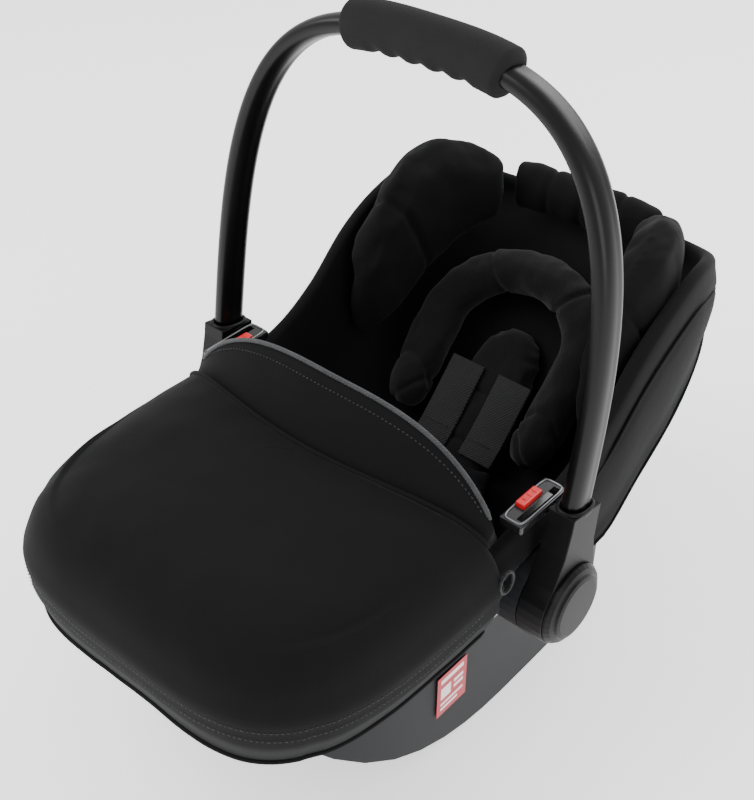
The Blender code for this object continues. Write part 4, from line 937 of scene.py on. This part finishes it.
def make_fittings():
    nodes = frame["nodes"]
    looks = {"seat_shell": "plastic", "latch_bar_front": "steel",
             "latch_bar_rear": "steel", "buckle_body": "black", "adjuster_frame": "black",
             "adjuster_button": "black", "buckle_button": "red", "safety_label": "label"}
    for word in SIDES.values():
        looks.update({"hub_base_" + word: "plastic", "release_button_" + word: "red",
                      "pivot_pin_" + word: "steel",
                      "handle_socket_" + word: "socket", "hub_cap_" + word: "socket",
                      "belt_guide_" + word: "black", "belt_button_" + word: "red",
                      "buckle_tongue_" + word: "black"})
    for node, look in looks.items():
        nodes[node].data.materials.clear()
        nodes[node].data.materials.append(FINISH[look])
        shade_round(nodes[node])
    # The base's moulded wall, welded so that its curve shades as one surface
    shade_round(place(copy_of("rocker_base", "base_moulding", "plastic"), slot="shell_plastic",
                      stands_for=["rocker_base"]))
    for side, word in SIDES.items():
        # The release spring's coil, as a copy with a mesh of its own
        low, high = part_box("release_spring_" + word)
        spring = place(copy_of("release_spring_" + word, "release_coil_" + word, "steel"),
                       slot="plated_steel", stands_for=["release_spring_" + word])
        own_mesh(spring)
        low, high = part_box("hub_cap_" + word)
        outer = high.x if side > 0 else low.x
        place(ring_on_x("cap_bead_" + word, outer - side * 0.0022, 0.0288, 0.0007, "socket"), "handle",
              "shell_plastic")
        low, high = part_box("belt_guide_" + word)
        middle = (low + high) / 2
        place(rounded_frame("guide_trim_" + word, middle, (high.x - low.x) / 2 - 0.0022,
                            (high.y - low.y) / 2 - 0.0022, "chrome", high.z + 0.0002, 0.0010),
              slot="plated_steel")
        low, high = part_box("belt_button_" + word)
        bars = []
        for k in range(3):
            y = low.y + (high.y - low.y) * (k + 1) / 4 - AXIS.y
            bars.append(sweep(f"button_rib_{word}_{k}", [Vector((low.x + 0.002, y, high.z)),
                                                         Vector(((low.x + high.x) / 2, y, high.z + 0.0003)),
                                                         Vector((high.x - 0.002, y, high.z))], 0.0006, "red"))
        for bar in bars:
            place(bar, "belt_release_" + word, "red_button")
    # Generic blocks on the label, with no lettering
    low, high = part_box("safety_label")
    for number, (a, b, c, d) in enumerate(((0.12, 0.88, 0.80, 0.90), (0.12, 0.46, 0.40, 0.68),
                                           (0.56, 0.88, 0.58, 0.66), (0.56, 0.88, 0.44, 0.52),
                                           (0.12, 0.88, 0.24, 0.30), (0.12, 0.70, 0.12, 0.18))):
        x = high.x + 0.0001
        span = high - low
        corners = [(x, low.y + a * span.y, low.z + c * span.z), (x, low.y + b * span.y, low.z + c * span.z),
                   (x, low.y + b * span.y, low.z + d * span.z), (x, low.y + a * span.y, low.z + d * span.z)]
        back = [(x - 0.0002, y, z) for _, y, z in corners]
        faces = [(0, 1, 2, 3), (7, 6, 5, 4)] + [(i, i + 4, (i + 1) % 4 + 4, (i + 1) % 4) for i in range(4)]
        made = mesh_object(f"label_block_{number}", corners + back, faces, "ink", moved=False)
        made.data.polygons.foreach_set("use_smooth", [False] * 6)
        place(made, slot="printed_label")


# ---- Stage -------------------------------------------------------------------------------------------
def soft_box(name, at, aim, size, power):
    """A square studio soft box."""
    data = bpy.data.lights.new(name, "AREA")
    data.shape = "RECTANGLE"
    data.size, data.size_y = size
    data.energy = power
    made = bpy.data.objects.new(name, data)
    made.location = at
    made.rotation_euler = (Vector(aim) - Vector(at)).to_track_quat("-Z", "Y").to_euler()
    bpy.context.scene.collection.objects.link(made)


def make_stage():
    outline = [(-6, -6, 0), (6, -6, 0), (6, 6, 0), (-6, 6, 0)]
    floor = mesh_object("studio_floor", outline, [(0, 1, 2, 3)], "paper", moved=False)
    world = bpy.data.worlds.new("studio")
    bpy.context.scene.world = world
    world.use_nodes = True
    world.node_tree.nodes["Background"].inputs["Color"].default_value = (1.0, 1.0, 1.0, 1.0)
    world.node_tree.nodes["Background"].inputs["Strength"].default_value = 1.05
    soft_box("key", (-1.3, -1.0, 1.9), (0, 0, 0.2), (1.6, 1.6), 46)
    soft_box("head_side", (0.2, 1.9, 1.7), (0, 0, 0.25), (1.8, 1.2), 34)
    soft_box("fill", (2.2, -0.7, 1.1), (0, 0, 0.2), (1.4, 1.4), 22)
    data = bpy.data.cameras.new("camera")
    data.lens, data.sensor_width = 57.57, 36.0
    data.clip_start = 0.02
    camera = bpy.data.objects.new("camera", data)
    around, up, away = math.radians(41.04), math.radians(37.63), 1.1376
    target = Vector((-0.0153, 0.0198 + AXIS.y, 0.2529))
    level = math.cos(up)
    camera.location = target + away * Vector((math.sin(around) * level, -math.cos(around) * level, math.sin(up)))
    camera.rotation_euler = (target - camera.location).to_track_quat("-Z", "Y").to_euler()
    bpy.context.scene.collection.objects.link(camera)
    bpy.context.scene.camera = camera


# ---- Operators and panel -----------------------------------------------------------------------------
class CARSEAT_OT_finishes(bpy.types.Operator):
    """Make every material of the seat."""
    bl_idname = "carseat.finishes"
    bl_label = "Finishes"

    def execute(self, context):
        make_finishes(context.scene.seat_finishes)
        FINISH["paper"] = seamless_paper("seamless paper", "#f6f6f6")
        return {"FINISHED"}


class CARSEAT_OT_cover(bpy.types.Operator):
    """Sew the cover over the bucket and its rim."""
    bl_idname = "carseat.cover"
    bl_label = "Seat cover"

    def execute(self, context):
        make_cover(context.scene.seat_sizes)
        return {"FINISHED"}


class CARSEAT_OT_muff(bpy.types.Operator):
    """Sew the foot muff and its turned-up flap."""
    bl_idname = "carseat.muff"
    bl_label = "Foot muff"

    def execute(self, context):
        make_muff(context.scene.seat_sizes)
        make_flap(context.scene.seat_sizes)
        return {"FINISHED"}


class CARSEAT_OT_cushions(bpy.types.Operator):
    """Stuff the insert, head roll, wings and pads."""
    bl_idname = "carseat.cushions"
    bl_label = "Cushions"

    def execute(self, context):
        make_cushions(context.scene.seat_sizes)
        return {"FINISHED"}


class CARSEAT_OT_harness(bpy.types.Operator):
    """Lay the harness straps and their stitching."""
    bl_idname = "carseat.harness"
    bl_label = "Harness"

    def execute(self, context):
        make_harness(context.scene.seat_sizes)
        return {"FINISHED"}


class CARSEAT_OT_handle(bpy.types.Operator):
    """Bend the handle arch and fit its foam grip."""
    bl_idname = "carseat.handle"
    bl_label = "Handle"

    def execute(self, context):
        make_handle(context.scene.seat_sizes)
        return {"FINISHED"}


class CARSEAT_OT_fittings(bpy.types.Operator):
    """Finish the shell, base, hubs, guides, buckle and label."""
    bl_idname = "carseat.fittings"
    bl_label = "Fittings"

    def execute(self, context):
        make_fittings()
        return {"FINISHED"}


class CARSEAT_OT_stage(bpy.types.Operator):
    """Set the floor, lights and camera."""
    bl_idname = "carseat.stage"
    bl_label = "Stage"

    def execute(self, context):
        make_stage()
        return {"FINISHED"}


STEPS = (CARSEAT_OT_finishes, CARSEAT_OT_cover, CARSEAT_OT_muff, CARSEAT_OT_cushions, CARSEAT_OT_harness,
         CARSEAT_OT_handle, CARSEAT_OT_fittings, CARSEAT_OT_stage)


class CARSEAT_PT_panel(bpy.types.Panel):
    bl_idname = "CARSEAT_PT_panel"
    bl_label = "Infant Car Seat"
    bl_space_type = "VIEW_3D"
    bl_region_type = "UI"
    bl_category = "Car Seat"

    def draw(self, context):
        layout = self.layout
        for group in (context.scene.seat_sizes, context.scene.seat_finishes):
            for name in group.__annotations__:
                layout.prop(group, name)
        for step in STEPS:
            layout.operator(step.bl_idname)


CLASSES = (SeatFinishes, SeatSizes, *STEPS, CARSEAT_PT_panel)


def register():
    for kind in CLASSES:
        bpy.utils.register_class(kind)
    bpy.types.Scene.seat_finishes = PointerProperty(type=SeatFinishes)
    bpy.types.Scene.seat_sizes = PointerProperty(type=SeatSizes)


def unregister():
    del bpy.types.Scene.seat_sizes
    del bpy.types.Scene.seat_finishes
    for kind in reversed(CLASSES):
        bpy.utils.unregister_class(kind)


def corners(bounds):
    """A box as plain lists of numbers."""
    return [[float(value) for value in corner] for corner in bounds]


def main():
    register()
    bpy.ops.carseat.finishes()
    bpy.ops.carseat.cover()
    bpy.ops.carseat.muff()
    bpy.ops.carseat.cushions()
    bpy.ops.carseat.harness()
    bpy.ops.carseat.handle()
    bpy.ops.carseat.fittings()
    bpy.ops.carseat.stage()


if __name__ == "__main__":
    main()
